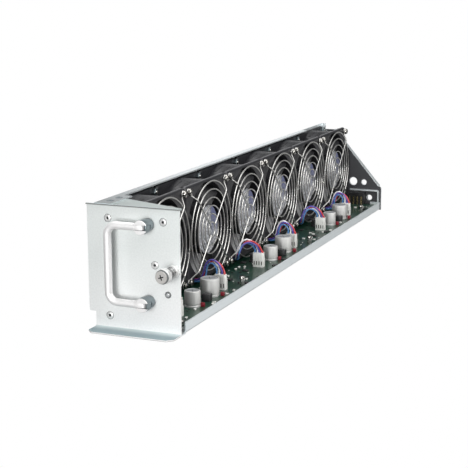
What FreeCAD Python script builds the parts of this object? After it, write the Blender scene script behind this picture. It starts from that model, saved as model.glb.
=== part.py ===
import FreeCAD, Part
import math
import os

os.makedirs("parts", exist_ok=True)

# Every length is in millimetres and every angle in degrees.
# X runs across the tray from the fan wall to the open side, Y from the front panel to the rear,
# and Z upwards. The origin is the centre of the floor's underside.

# Sheet metal of the tray
sheet = 1.2
bend_inner = 1.0
plenum_width = 42.6
rail_height = 9.5
rail_setback = 9.1
wall_flange = 6.8
wall_flange_front = 15.0
wall_flange_front_length = 40.0
wall_flange_end_gap = 75.0
front_clearance = 11.5
rear_clearance = 7.5

# Fans: six square axial fans in one row, blowing through the wall
fan_count = 6
fan_size = 92.0
fan_depth = 32.0
fan_gap = 1.5
fan_hole_from_edge = 4.75
fan_lift = 9.3
fan_top_gap = 0.3
frame_flange = 4.0
frame_corner = 4.0
duct_from_edge = 1.7
duct_wall = 1.5
duct_sides = 24
screw_hole_radius = 2.2
motor_seat_radius = 21.0
motor_seat_recess = 0.8
motor_seat_thickness = 2.5
strut_count = 4
strut_width = 4.0
strut_depth = 3.5
bearing_tube_wall = 1.5
bearing_radius = 3.0
bearing_length = 13.0
bearing_sides = 6
shaft_radius = 1.5
shaft_sides = 12
shaft_clearance = 0.05
stator_radius = 17.5
stator_length = 12.0
stator_sides = 8
motor_seat_sides = 12
lead_notch_width = 8.4
lead_notch_height = 7.0

# Impeller
hub_radius = 23.0
hub_wall = 1.6
hub_face_setback = 0.8
hub_length = 24.0
hub_edge = 1.4
hub_sides = 18
hub_hollow_sides = 12
blade_count = 7
blade_tip_gap = 1.3
blade_thickness = 1.3
blade_front_setback = 3.0
blade_axial_length = 20.0
blade_root_sweep = 46.0
blade_tip_sweep = 34.0
blade_lean = 9.0
blade_steps = 2

# Wire guard
guard_wire = 1.6
guard_ring_pitch = 7.6
guard_overlap = 0.7
guard_standoff = 3.9
guard_ring_sides = (16, 12, 12, 10, 8, 6)
guard_eyelet_radius = 3.6
guard_eyelet_clearance = 0.4

# Fasteners
fastener_sides = 6
turned_sides = 10
guard_screw_radius = 1.7
guard_screw_head_radius = 3.3
guard_screw_head = 2.6
guard_screw_length = 6.0
wall_screw_radius = 1.9
wall_screw_head_radius = 3.4
wall_screw_head = 1.8
wall_nut_flats = 3.5
wall_nut_height = 3.0
rivet_shank_radius = 1.6
rivet_head_radius = 3.1
rivet_head = 0.5
rivet_tail_radius = 2.4
rivet_tail = 1.4

# Front panel and the bracket behind it
panel_overhang = 6.0
notch_height = 13.4
top_lip = 1.8
bottom_lip = 18.0
lip_corner = 5.0
bracket_right_gap = 2.0
bracket_depth_left = 28.7
bracket_depth_right = 6.5
bracket_taper_inset = 16.0
panel_rivet_columns = (19.0, 68.5)
panel_rivet_below_top = 11.5
panel_rivet_low = 11.2
panel_rivet_mid = (60.7, 56.9)
flange_rivets_at = (13.6, 28.5)

# Folding handle
handle_rod = 6.4
handle_span = 63.2
handle_mid_height = 58.2
handle_reach = 30.7
handle_bend = 8.0
handle_sides = 10
handle_bend_steps = 4
handle_pivot_from_right = 27.5
handle_axis_out = 12.0
ferrule_radius = 4.5
ferrule_length = 15.5
ferrule_slot = 4.4
ferrule_slot_depth = 8.0
ferrule_spigot_radius = 2.5
tang_thickness = 4.0
tang_radius = 3.0
tang_reach = 5.6
pin_radius = 1.0
pin_clearance = 0.05

# Captive screw
captive_from_right = 5.5
captive_height = 53.7
captive_bush_radius = 5.0
captive_bush_length = 5.0
captive_spigot_radius = 3.4
captive_thread_radius = 2.0
captive_thread_length = 3.0
captive_neck_radius = 1.6
captive_neck_clearance = 0.3
captive_spring_length = 11.0
captive_spring_radius = 4.1
captive_spring_wire = 1.1
captive_spring_turns = 2.5
captive_spring_steps = 8
captive_knob_radius = 6.2
captive_knob_length = 5.6
captive_head_radius = 4.6
captive_head_length = 2.4
captive_tip = 4.5
captive_recess_width = 1.0
captive_recess_span = 4.4
captive_recess_depth = 1.2

# Status light
light_from_right = 10.9
light_height = 33.5
light_radius = 2.3
light_rim_radius = 2.8
light_rim = 0.8
light_length = 8.0

# Rear plate, insulating sheet and connector
insulator = 0.8
rear_overlap = 1.2
rear_low_height = 29.3
rear_low_corner = 3.3
rear_slope_top_from_wall = 17.0
rear_slope_foot_from_right = 2.1
rear_flange = 5.5
rear_top_drop = 7.0
rear_tab_width = 12.0
rear_tab_top_width = 6.0
insulator_inset = 0.2
rear_tab_rivet_heights = (25.0, 56.0, 88.0)
floor_tab_width = 9.0
floor_tab_height = 9.6
floor_tab_from_right = 3.0
guide_large_radius = 4.7
guide_large_at = (34.5, 33.8)
guide_small_radius = 3.1
guide_small_at = (20.8, 33.3)
guide_low_radius = 3.1
guide_low_at = (13.5, 14.6)
insulator_hole_margin = 0.5
connector_from_right = 18.0
connector_width = 21.0
connector_height = 14.2
connector_depth_inside = 9.0
connector_depth_outside = 8.0
connector_fit = 0.3
contact_count = 4
contact_pitch = 5.0
contact_width = 1.6
contact_thickness = 0.8
contact_cavity_width = 3.0
contact_cavity_depth = 6.0
hood_sheet = 1.6
hood_top = 24.6
hood_depth = 2.5
hood_left_from_near_face = 5.8

# Circuit board and what stands on it
board_thickness = 1.6
board_standoff = 4.0
board_left_gap = 3.0
board_right_gap = 2.1
board_front_gap = 4.8
board_rear_gap = 0.8
standoff_flats = 2.75
standoff_inset = 3.6
board_screw_radius = 1.5
board_screw_head_radius = 2.8
board_screw_head = 2.0
board_screw_first = 4.5
post_from_cell = 41.5
post_height = 6.8
post_flats = 2.25
small_cap_radius = 7.0
small_cap_height = 14.2
small_cap_at = (19.5, 53.5)
large_cap_radius = 8.5
large_cap_height = 16.0
large_cap_at = (20.3, 92.0)
cap_edge = 0.8
cap_sides = 16
choke_radius = 5.0
choke_height = 8.5
choke_at = (31.0, 38.0)
regulator_size = (7.5, 6.5, 6.5)
regulator_at = (15.0, 74.0)
film_cap_size = (3.2, 2.4, 3.4)
film_caps_at = ((10.7, 55.5), (9.0, 94.5))

# Fan plugs and leads
plug_ways = 4
plug_way_pitch = 2.54
plug_margin = 0.1
plug_depth = 5.0
plug_height = 12.8
plug_from_right = 19.2
plug_from_cell = 20.5
plug_slot_width = 0.9
plug_slot_height = 3.6
plug_slot_depth = 0.8
plug_bore_depth = 3.0
header_base = 1.4
header_wall = 1.0
header_wall_height = 7.3
lead_bunch = 3.0
lead_rise_from_near_face = 9.0
lead_turn_radius = 6.5
lead_height_below_axis = 42.5

# Places worked out from the sizes above
fan_pitch = fan_size + fan_gap
pair_pitch = 2 * fan_pitch
duct_radius = fan_size / 2 - duct_from_edge
guard_outer_radius = duct_radius + guard_overlap
tray_length = front_clearance + fan_count * fan_pitch + rear_clearance
tray_width = sheet + fan_depth + plenum_width + sheet
bracket_top = fan_lift + fan_size + fan_top_gap + sheet
wall_height = bracket_top + sheet
front = -tray_length / 2
rear = tray_length / 2
wall_out = -tray_width / 2
wall_in = wall_out + sheet
rail_out = tray_width / 2
rail_in = rail_out - sheet
fan_near = wall_in + fan_depth
fan_axis_height = fan_lift + fan_size / 2
tray_end = rear - sheet - insulator
board_underside = sheet + board_standoff
board_top = board_underside + board_thickness
bend_outer = bend_inner + sheet
hole_offset = fan_size / 2 - fan_hole_from_edge


def vec(x, y, z):
    return FreeCAD.Vector(x, y, z)


AXES = {"x": vec(1, 0, 0), "y": vec(0, 1, 0), "z": vec(0, 0, 1)}


def export(name, solids):
    """Write one node: a single solid, or a group of separate ones."""
    shape = solids[0] if len(solids) == 1 else Part.makeCompound(solids)
    shape.exportStep(os.path.join("parts", name + ".step"))


def block(x0, x1, y0, y1, z0, z1):
    return Part.makeBox(x1 - x0, y1 - y0, z1 - z0, vec(x0, y0, z0))


def slab(points, thickness):
    """Flat plate: a closed outline pushed along a vector."""
    loop = Part.makePolygon(points + [points[0]])
    return Part.Face(loop).extrude(thickness)


def rod(axis, start, length, radius, sides=0):
    """Round bar along an axis, or a regular prism whose flats lie at the radius."""
    direction = AXES[axis]
    if not sides:
        return Part.makeCylinder(radius, length, start, direction)
    first = vec(0, 1, 0) if axis == "x" else vec(1, 0, 0)
    second = direction.cross(first)
    corner = radius / math.cos(math.pi / sides)
    points = []
    for i in range(sides):
        angle = 2 * math.pi * (i + 0.5) / sides
        spoke = first * (corner * math.cos(angle)) + second * (corner * math.sin(angle))
        points.append(start + spoke)
    return slab(points, direction * length)


def tube(axis, start, length, outer, inner, sides=0):
    return rod(axis, start, length, outer, sides).cut(rod(axis, start, length, inner, sides))


def fuse_all(shapes):
    return shapes[0].multiFuse(shapes[1:]).removeSplitter()


def cut_all(shape, tools):
    return shape.cut(Part.makeCompound(tools))


def bend(shape, axis, place, inner_first, radius_inner=bend_inner):
    """Round a fold whose inner edge runs along an axis through a place, and its outer edge too."""
    outer_place = place + inner_first * sheet
    for target, radius in ((place, radius_inner), (outer_place, radius_inner + sheet)):
        edges = [e for e in shape.Edges if edge_on_line(e, axis, target)]
        shape = shape.makeFillet(radius, edges)
    return shape


def edge_on_line(edge, axis, place):
    """True for a straight edge along an axis that passes through a place."""
    ends = [v.Point for v in edge.Vertexes]
    if len(ends) != 2 or not isinstance(edge.Curve, (Part.Line, Part.LineSegment)):
        return False
    direction = AXES[axis]
    for end in ends:
        away = end - place
        if (away - direction * away.dot(direction)).Length > 1e-4:
            return False
    return True


def cell_start(k):
    """Front edge of the space that fan k takes in the row."""
    return front + front_clearance + k * fan_pitch


def fan_centre(k):
    return vec(wall_in, cell_start(k) + fan_pitch / 2, fan_axis_height)


def at_fan(shape, k):
    """Copy of a fan piece, moved from its own axis to fan k."""
    copy = shape.copy()
    copy.translate(fan_centre(k))
    return copy


def corner_points(x):
    """The four screw places of a fan, on its own axis."""
    return [vec(x, sy * hole_offset, sz * hole_offset) for sy in (-1, 1) for sz in (-1, 1)]


def wall_corner_points(x):
    """The two screw places that fix a fan to the wall: front low and rear high."""
    return [vec(x, s * hole_offset, s * hole_offset) for s in (-1, 1)]


def from_right(distance):
    """Distance measured inwards from the tray's open side."""
    return rail_out - distance


# Tray: floor, fan wall, top flange, rail and the two tabs that hold the rear plate


def make_tray():
    y0 = front + sheet
    rail_start = front + rail_setback
    strip_left = rail_in - 2 * bend_inner
    strip = block(strip_left, rail_out, rail_start, tray_end, 0, sheet)
    rail = fuse_all([strip, block(rail_in, rail_out, rail_start, tray_end, 0, rail_height)])
    rail = bend(rail, "y", vec(rail_in, 0, sheet), vec(1, 0, -1))
    floor = block(wall_out, strip_left, y0, tray_end, 0, sheet)
    apron = block(strip_left, rail_out, y0, rail_start, 0, sheet)
    wall = block(wall_out, wall_in, y0, tray_end, 0, wall_height)
    tray = bend(fuse_all([floor, wall]), "y", vec(wall_in, 0, sheet), vec(-1, 0, -1))
    flange_end = rear - wall_flange_end_gap
    flange = block(wall_out, wall_out + wall_flange, y0, flange_end, wall_height - sheet, wall_height)
    wide_end = front + wall_flange_front_length
    wide = block(wall_out, wall_out + wall_flange_front, y0, wide_end, wall_height - sheet, wall_height)
    wall_tab = make_wall_tab()
    tab_right = from_right(floor_tab_from_right)
    floor_tab = block(tab_right - floor_tab_width, tab_right, tray_end - sheet, tray_end, 0, floor_tab_height)
    tray = fuse_all([tray, rail, apron, flange, wide, wall_tab, floor_tab])
    tools = []
    for k in range(fan_count):
        centre = fan_centre(k)
        start = vec(wall_out - sheet, centre.y, centre.z)
        tools.append(rod("x", start, 3 * sheet, duct_radius, duct_sides))
        for p in wall_corner_points(0):
            tools.append(rod("x", start + p, 3 * sheet, screw_hole_radius, fastener_sides))
    for x, y in flange_rivet_places():
        tools.append(rod("z", vec(x, y, wall_height - 2 * sheet), 3 * sheet, rivet_shank_radius, fastener_sides))
    for x, z in rear_rivet_places():
        tools.append(rod("y", vec(x, tray_end - 2 * sheet, z), 3 * sheet, rivet_shank_radius, fastener_sides))
    return cut_all(tray, tools)


def make_wall_tab():
    """Tab that holds the rear plate, narrower where it stands above the plate's top."""
    y = tray_end - sheet
    wide = wall_out + rear_tab_width
    narrow = wall_out + rear_tab_top_width
    shoulder = wall_height - rear_top_drop
    outline = [
        vec(wall_out, y, sheet),
        vec(wide, y, sheet),
        vec(wide, y, shoulder - (wide - narrow)),
        vec(narrow, y, shoulder),
        vec(narrow, y, wall_height),
        vec(wall_out, y, wall_height),
    ]
    return slab(outline, vec(0, sheet, 0))


def flange_rivet_places():
    x = wall_out + wall_flange_front * 0.56
    return [(x, front + y) for y in flange_rivets_at]


def rear_rivet_places():
    wall_x = wall_out + rear_tab_width * 0.6
    floor_x = from_right(floor_tab_from_right) - floor_tab_width / 2
    places = [(wall_x, z) for z in rear_tab_rivet_heights]
    places.append((floor_x, floor_tab_height * 0.5))
    return places


# Front panel, the bracket behind it and what is fixed to it


def panel_x(from_left):
    return wall_out - panel_overhang + from_left


def panel_rivet_places():
    """Two rivets near the top, one low on the left and one beside the captive screw."""
    high = wall_height - panel_rivet_below_top
    left, right = panel_rivet_columns
    places = [(left, high), (right, high), (left, panel_rivet_low), panel_rivet_mid]
    return [(panel_x(x), z) for x, z in places]


def handle_pivot_x():
    return from_right(handle_pivot_from_right)


def handle_heights():
    return (handle_mid_height - handle_span / 2, handle_mid_height + handle_span / 2)


def make_front_panel():
    left = wall_out - panel_overhang
    face = block(left, rail_out, front, front + sheet, 0, wall_height)
    upper = block(left, rail_out, front - top_lip, front + sheet, wall_height - sheet, wall_height)
    lower = block(left, rail_out, front - bottom_lip, front + sheet, 0, sheet)
    panel = fuse_all([face, upper, lower])
    panel = bend(panel, "x", vec(0, front, sheet), vec(0, 1, -1))
    panel = bend(panel, "x", vec(0, front, wall_height - sheet), vec(0, 1, 1))
    notch = block(left - 1, wall_out, front - bottom_lip - 1, rear, -1, notch_height)
    tools = [notch]
    for side, x in ((1, wall_out), (-1, rail_out)):
        y = front - bottom_lip
        corner = [vec(x, y, -1), vec(x + side * lip_corner, y, -1), vec(x, y + lip_corner, -1)]
        tools.append(slab(corner, vec(0, 0, notch_height)))
    for x, z in panel_rivet_places():
        start = vec(x, front - sheet, z)
        tools.append(rod("y", start, 3 * sheet, rivet_shank_radius, fastener_sides))
    for z in handle_heights():
        tools.append(rod("y", vec(handle_pivot_x(), front - sheet, z), 3 * sheet, ferrule_spigot_radius, turned_sides))
    start = vec(from_right(captive_from_right), front - sheet, captive_height)
    tools.append(rod("y", start, 3 * sheet, captive_spigot_radius, turned_sides))
    start = vec(from_right(light_from_right), front - sheet, light_height)
    tools.append(rod("y", start, 3 * sheet, light_radius, turned_sides))
    return cut_all(panel, tools)


def make_front_bracket():
    y0 = front + sheet
    y1 = y0 + sheet
    right = rail_out - bracket_right_gap
    web = block(wall_in, right, y0, y1, sheet, bracket_top)
    taper_x = wall_in + bracket_taper_inset
    outline = [
        vec(wall_in, y0, bracket_top - sheet),
        vec(right, y0, bracket_top - sheet),
        vec(right, y1 + bracket_depth_right, bracket_top - sheet),
        vec(taper_x, y1 + bracket_depth_left, bracket_top - sheet),
        vec(wall_in, y1 + bracket_depth_left, bracket_top - sheet),
    ]
    top = slab(outline, vec(0, 0, sheet))
    bracket = fuse_all([web, top])
    bracket = bend(bracket, "x", vec(0, y1, bracket_top - sheet), vec(0, -1, 1))
    start_y = y0 - sheet
    tools = []
    for x, z in panel_rivet_places():
        tools.append(rod("y", vec(x, start_y, z), 3 * sheet, rivet_shank_radius, fastener_sides))
    for z in handle_heights():
        tools.append(rod("y", vec(handle_pivot_x(), start_y, z), 3 * sheet, ferrule_spigot_radius, turned_sides))
    captive = vec(from_right(captive_from_right), start_y, captive_height)
    tools.append(rod("y", captive, 3 * sheet, captive_spigot_radius + sheet, turned_sides))
    light = vec(from_right(light_from_right), start_y, light_height)
    tools.append(rod("y", light, 3 * sheet, light_radius + bend_inner, turned_sides))
    for x, y in flange_rivet_places():
        tools.append(rod("z", vec(x, y, bracket_top - 2 * sheet), 3 * sheet, rivet_shank_radius, fastener_sides))
    floor_bend = block(wall_in - 1, wall_in + bend_outer, y0 - 1, y1 + 1, 0, sheet + bend_outer)
    tools.append(floor_bend)
    return cut_all(bracket, tools)


def make_rivet(axis, place, grip, head_first=True):
    """Blind rivet: a low head, a shank of the grip's length and a tail."""
    direction = AXES[axis]
    head = rod(axis, place - direction * rivet_head, rivet_head, rivet_head_radius, 2 * fastener_sides)
    shank = rod(axis, place, grip, rivet_shank_radius, fastener_sides)
    tail = rod(axis, place + direction * grip, rivet_tail, rivet_tail_radius, fastener_sides)
    rivet = fuse_all([head, shank, tail])
    if not head_first:
        rivet.rotate(place + direction * (grip / 2), turn_axis(axis), 180)
    return rivet


def turn_axis(axis):
    return AXES["x"] if axis != "x" else AXES["y"]


def make_panel_rivets():
    return [make_rivet("y", vec(x, front, z), 2 * sheet) for x, z in panel_rivet_places()]


def make_flange_rivets():
    z = wall_height - 2 * sheet
    return [make_rivet("z", vec(x, y, z), 2 * sheet, False) for x, y in flange_rivet_places()]


def make_rear_rivets():
    grip = 2 * sheet + insulator
    return [make_rivet("y", vec(x, tray_end - sheet, z), grip, False) for x, z in rear_rivet_places()]


def make_handle_ferrules():
    ferrules = []
    for z in handle_heights():
        x = handle_pivot_x()
        post = rod("y", vec(x, front - ferrule_length, z), ferrule_length, ferrule_radius, turned_sides)
        edges = [e for e in post.Edges if abs(e.BoundBox.YMax - (front - ferrule_length)) < 1e-4]
        post = post.makeChamfer(ferrule_radius * 0.12, edges)
        spigot = rod("y", vec(x, front, z), 2 * sheet, ferrule_spigot_radius, turned_sides)
        reach = ferrule_radius + 1
        slot = block(
            x - reach,
            x + reach,
            front - ferrule_length - 1,
            front - ferrule_length + ferrule_slot_depth,
            z - ferrule_slot / 2,
            z + ferrule_slot / 2,
        )
        start = vec(x, front - handle_axis_out, z - reach)
        hole = rod("z", start, 2 * reach, pin_radius, shaft_sides)
        ferrules.append(cut_all(fuse_all([post, spigot]), [slot, hole]))
    return ferrules


def pin_length():
    """Pin through both ears, flush with the round of the ferrule."""
    return 2 * math.sqrt(ferrule_radius ** 2 - pin_radius ** 2)


def make_handle_pins():
    pins = []
    for z in handle_heights():
        start = vec(handle_pivot_x(), front - handle_axis_out, z - pin_length() / 2)
        pins.append(rod("z", start, pin_length(), pin_radius))
    return pins


def make_handle():
    x = handle_pivot_x()
    y = front - handle_axis_out
    low, high = handle_heights()
    grip_x = x - handle_reach
    r = handle_bend
    rod_start = x - tang_reach
    points = [vec(rod_start, y, high)]
    for centre_z, first in ((high - r, 90), (low + r, 180)):
        for i in range(handle_bend_steps + 1):
            turn = math.radians(first + 90 * i / handle_bend_steps)
            points.append(vec(grip_x + r + r * math.cos(turn), y, centre_z + r * math.sin(turn)))
    points.append(vec(rod_start, y, low))
    section = rod("x", points[0], handle_rod, handle_rod / 2, handle_sides).Faces
    section = [f for f in section if f.BoundBox.XMax < rod_start + 1e-6][0].OuterWire
    builder = Part.BRepOffsetAPI.MakePipeShell(Part.makePolygon(points))
    builder.setTransitionMode(1)
    builder.add(section)
    builder.build()
    builder.makeSolid()
    bow = builder.shape()
    pieces = [bow]
    for z in (low, high):
        start = vec(x, y, z - tang_thickness / 2)
        pieces.append(rod("z", start, tang_thickness, tang_radius, shaft_sides))
        flat = block(
            rod_start - handle_rod / 4,
            x,
            y - tang_radius,
            y + tang_radius,
            z - tang_thickness / 2,
            z + tang_thickness / 2,
        )
        pieces.append(flat)
    handle = fuse_all(pieces)
    holes = []
    for z in (low, high):
        start = vec(x, y, z - tang_thickness)
        holes.append(rod("z", start, 2 * tang_thickness, pin_radius + pin_clearance, shaft_sides))
    return cut_all(handle, holes)


def captive_place(out):
    """Place on the captive screw's axis, measured outwards from the panel's face."""
    return vec(from_right(captive_from_right), front - out, captive_height)


def make_captive_bush():
    barrel = rod("y", captive_place(captive_bush_length), captive_bush_length, captive_bush_radius, turned_sides)
    spigot = rod("y", captive_place(0), sheet, captive_spigot_radius, turned_sides)
    bore = rod(
        "y",
        captive_place(captive_bush_length + 1),
        captive_bush_length + 2 * sheet + 2,
        captive_neck_radius + captive_neck_clearance,
        shaft_sides,
    )
    return fuse_all([barrel, spigot]).cut(bore)


def spring_frame(angle, forward):
    """Corners of the spring wire's square section at one point of its helix."""
    centre = captive_place(forward)
    spoke = vec(math.cos(angle), 0, math.sin(angle))
    half = captive_spring_wire / 2
    along = vec(0, half, 0)
    middle = centre + spoke * captive_spring_radius
    return [
        middle + spoke * half + along,
        middle + spoke * half - along,
        middle - spoke * half - along,
        middle - spoke * half + along,
    ]


def skin(frames):
    """Closed solid through a row of four-cornered frames, in flat triangles."""
    faces = []

    def add(points):
        faces.append(Part.Face(Part.makePolygon(points + [points[0]])))

    for a, b in zip(frames, frames[1:]):
        for i in range(len(a)):
            j = (i + 1) % len(a)
            add([a[i], a[j], b[j]])
            add([a[i], b[j], b[i]])
    for end in (frames[0], frames[-1]):
        add([end[0], end[1], end[2]])
        add([end[0], end[2], end[3]])
    solid = Part.Solid(Part.Shell(faces))
    return solid if solid.Volume > 0 else solid.reversed()


def make_captive_spring():
    steps = int(captive_spring_turns * captive_spring_steps)
    low = captive_bush_length + captive_spring_wire / 2
    travel = captive_spring_length - captive_spring_wire
    frames = []
    for i in range(steps + 1):
        share = i / steps
        frames.append(spring_frame(2 * math.pi * captive_spring_turns * share, low + travel * share))
    return skin(frames)


def make_captive_screw():
    knob_back = captive_bush_length + captive_spring_length
    knob_front = knob_back + captive_knob_length
    head_front = knob_front + captive_head_length
    knob = rod("y", captive_place(knob_front), captive_knob_length, captive_knob_radius, turned_sides)
    rims = [e for e in knob.Edges if e.BoundBox.YLength < 1e-4]
    knob = knob.makeChamfer(captive_head_length * 0.25, rims)
    head = rod("y", captive_place(head_front), captive_head_length, captive_head_radius, turned_sides)
    neck = rod("y", captive_place(knob_back), knob_back + captive_tip, captive_neck_radius, turned_sides)
    thread = rod("y", captive_place(captive_thread_length - captive_tip), captive_thread_length, captive_thread_radius)
    screw = fuse_all([knob, head, neck, thread])
    centre = captive_place(head_front)
    half_width = captive_recess_width / 2
    half_span = captive_recess_span / 2
    y0 = centre.y - 1
    y1 = centre.y + captive_recess_depth
    flat = block(centre.x - half_span, centre.x + half_span, y0, y1, centre.z - half_width, centre.z + half_width)
    tall = block(centre.x - half_width, centre.x + half_width, y0, y1, centre.z - half_span, centre.z + half_span)
    return cut_all(screw, [flat, tall])


def make_status_light():
    x = from_right(light_from_right)
    rim = rod("y", vec(x, front - light_rim, light_height), light_rim, light_rim_radius, turned_sides)
    stem = rod("y", vec(x, front, light_height), light_length, light_radius, turned_sides)
    return fuse_all([rim, stem])


# Rear plate, insulating sheet, connector and its hood


def rear_outline(inset):
    """Corners of the rear plate from the wall's foot round to its top, set in by a margin."""
    left = wall_out + inset
    right = rail_out + rear_overlap - inset
    slope_x = wall_out + rear_slope_top_from_wall
    foot_x = from_right(rear_slope_foot_from_right)
    corner = right - rear_low_corner
    return left, right, slope_x, foot_x, corner


def make_rear_blank(y, thickness, inset):
    left, right, slope_x, foot_x, corner = rear_outline(inset)
    top = wall_height - rear_top_drop - inset
    low = rear_low_height - inset
    r = rear_low_corner
    s = r * (1 - math.sqrt(0.5))
    edges = [
        Part.LineSegment(vec(left, y, inset), vec(right, y, inset)),
        Part.LineSegment(vec(right, y, inset), vec(right, y, low - r)),
        Part.Arc(vec(right, y, low - r), vec(right - s, y, low - s), vec(right - r, y, low)),
        Part.LineSegment(vec(right - r, y, low), vec(min(foot_x, corner - 0.5), y, low)),
        Part.LineSegment(vec(min(foot_x, corner - 0.5), y, low), vec(slope_x, y, top)),
        Part.LineSegment(vec(slope_x, y, top), vec(left, y, top)),
        Part.LineSegment(vec(left, y, top), vec(left, y, inset)),
    ]
    loop = Part.Wire([e.toShape() for e in edges])
    return Part.Face(loop).extrude(vec(0, thickness, 0))


def rear_tools(y, sides=0):
    """Holes that pass through the rear plate and the sheet in front of it."""
    start_y = y - sheet
    length = 4 * sheet
    tools = []
    for radius, (inwards, z) in (
        (guide_large_radius, guide_large_at),
        (guide_small_radius, guide_small_at),
        (guide_low_radius, guide_low_at),
    ):
        margin = insulator_hole_margin if sides else 0
        tools.append(rod("y", vec(from_right(inwards), start_y, z), length, radius + margin, sides))
    for x, z in rear_rivet_places():
        tools.append(rod("y", vec(x, start_y, z), length, rivet_shank_radius, fastener_sides))
    x1 = from_right(connector_from_right) + connector_fit
    x0 = from_right(connector_from_right + connector_width) - connector_fit
    z0 = board_top - connector_fit
    z1 = board_top + connector_height + connector_fit
    tools.append(block(x0, x1, start_y, start_y + length, z0, z1))
    return tools


def make_rear_plate():
    plate = make_rear_blank(rear - sheet, sheet, 0)
    left, right, slope_x, foot_x, corner = rear_outline(0)
    foot = vec(foot_x, rear - sheet, rear_low_height)
    top = vec(slope_x, rear - sheet, wall_height - rear_top_drop)
    along = (foot - top).normalize()
    inward = vec(-along.z, 0, along.x)
    if inward.x > 0:
        inward = inward * -1
    shift = inward * sheet
    slope = slab([top, foot, foot + shift, top + shift], vec(0, sheet + rear_flange, 0))
    return cut_all(fuse_all([plate, slope]), rear_tools(rear - sheet))


def make_rear_insulator():
    sheet_blank = make_rear_blank(tray_end, insulator, insulator_inset)
    return cut_all(sheet_blank, rear_tools(tray_end, 2 * fastener_sides))


def connector_span():
    x1 = from_right(connector_from_right)
    return x1 - connector_width, x1


def contact_places():
    x0, x1 = connector_span()
    middle = (x0 + x1) / 2
    return [middle + (i - (contact_count - 1) / 2) * contact_pitch for i in range(contact_count)]


def make_rear_connector():
    x0, x1 = connector_span()
    y0 = tray_end - connector_depth_inside
    y1 = rear + connector_depth_outside
    z1 = board_top + connector_height
    body = block(x0, x1, y0, y1, board_top, z1)
    tools = []
    for x in contact_places():
        half = contact_cavity_width / 2
        z0 = board_top + connector_height * 0.2
        top = board_top + connector_height * 0.8
        tools.append(block(x - half, x + half, y1 - contact_cavity_depth, y1 + 1, z0, top))
    return cut_all(body, tools)


def make_connector_contacts():
    y0 = tray_end - connector_depth_inside
    y1 = rear + connector_depth_outside
    contacts = []
    for x in contact_places():
        half = contact_width / 2
        z0 = board_top + connector_height * 0.3
        z1 = board_top + connector_height * 0.7
        blade_back = y1 - contact_cavity_depth
        contacts.append(block(x - half, x + half, blade_back, y1 - contact_width, z0, z1))
        contacts.append(block(x - half, x + half, y0 - contact_thickness, y0, board_top, z1))
    return contacts


def make_connector_hood():
    left = fan_near + hood_left_from_near_face
    y0 = tray_end - hood_depth
    top = block(left, rail_in, y0, tray_end, hood_top - hood_sheet, hood_top)
    leg = block(rail_in - hood_sheet, rail_in, y0, tray_end, sheet + bend_outer, hood_top)
    hood = fuse_all([top, leg])
    edge = [e for e in hood.Edges if edge_on_line(e, "y", vec(rail_in, 0, hood_top))]
    return hood.makeFillet(bend_outer, edge)


# Circuit board and what stands on it


def board_rows():
    """Two rows of board fixings: under the fans and beside the rail."""
    return (wall_in + board_left_gap + standoff_inset, rail_in - board_right_gap - standoff_inset)


def post_rows():
    """One row of fixings beside every second fan."""
    return [cell_start(k) + post_from_cell for k in range(1, fan_count, 2)]


def fixing_places():
    rows = [cell_start(0) + board_screw_first] + post_rows()
    return [(x, y) for x in board_rows() for y in rows]


def post_places():
    x = board_rows()[1]
    return [(x, y) for y in post_rows()]


def make_board():
    x0 = wall_in + board_left_gap
    x1 = rail_in - board_right_gap
    y0 = front + 2 * sheet + board_front_gap
    y1 = tray_end - sheet - rivet_tail - board_rear_gap
    board = block(x0, x1, y0, y1, board_underside, board_top)
    tools = []
    for x, y in fixing_places():
        start = vec(x, y, board_underside - 1)
        tools.append(rod("z", start, board_thickness + 2, board_screw_radius, fastener_sides))
    return cut_all(board, tools)


def make_standoffs():
    standoffs = []
    for x, y in fixing_places():
        post = rod("z", vec(x, y, sheet), board_standoff, standoff_flats, 6)
        bore = rod("z", vec(x, y, sheet), board_standoff, board_screw_radius, fastener_sides)
        standoffs.append(post.cut(bore))
    return standoffs


def make_board_posts():
    return [rod("z", vec(x, y, board_top), post_height, post_flats, 6) for x, y in post_places()]


def make_board_screws():
    """Pan-head screws: straight into the standoffs, and on top of the three posts."""
    screws = []
    posts = post_places()
    for place in fixing_places():
        x, y = place
        shank_length = board_thickness + board_standoff * 0.75
        shank = rod("z", vec(x, y, board_top - shank_length), shank_length, board_screw_radius, fastener_sides)
        if place in posts:
            screws.append(shank)
            head_z = board_top + post_height
            screws.append(rod("z", vec(x, y, head_z), board_screw_head, board_screw_head_radius, fastener_sides))
        else:
            head = rod("z", vec(x, y, board_top), board_screw_head, board_screw_head_radius, fastener_sides)
            screws.append(fuse_all([shank, head]))
    return screws


def pair_places(inwards, along):
    """A place beside the rail, repeated for each pair of fans."""
    pairs = fan_count // 2
    return [(from_right(inwards), front + front_clearance + along + i * pair_pitch) for i in range(pairs)]


def make_can(x, y, radius, height):
    """Electrolytic capacitor: an upright can with a broken top edge."""
    can = rod("z", vec(x, y, board_top), height, radius, cap_sides)
    rim = [e for e in can.Edges if abs(e.BoundBox.ZMin - board_top - height) < 1e-4]
    return can.makeChamfer(cap_edge, rim)


def make_small_caps():
    places = pair_places(*small_cap_at)
    return [make_can(x, y, small_cap_radius, small_cap_height) for x, y in places]


def make_large_caps():
    places = pair_places(*large_cap_at)
    return [make_can(x, y, large_cap_radius, large_cap_height) for x, y in places]


def make_chokes():
    places = pair_places(*choke_at)
    return [rod("z", vec(x, y, board_top), choke_height, choke_radius, cap_sides) for x, y in places]


def make_blocks(places, size):
    dx, dy, dz = size
    return [block(x - dx / 2, x + dx / 2, y - dy / 2, y + dy / 2, board_top, board_top + dz) for x, y in places]


def make_regulators():
    return make_blocks(pair_places(*regulator_at), regulator_size)


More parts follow.
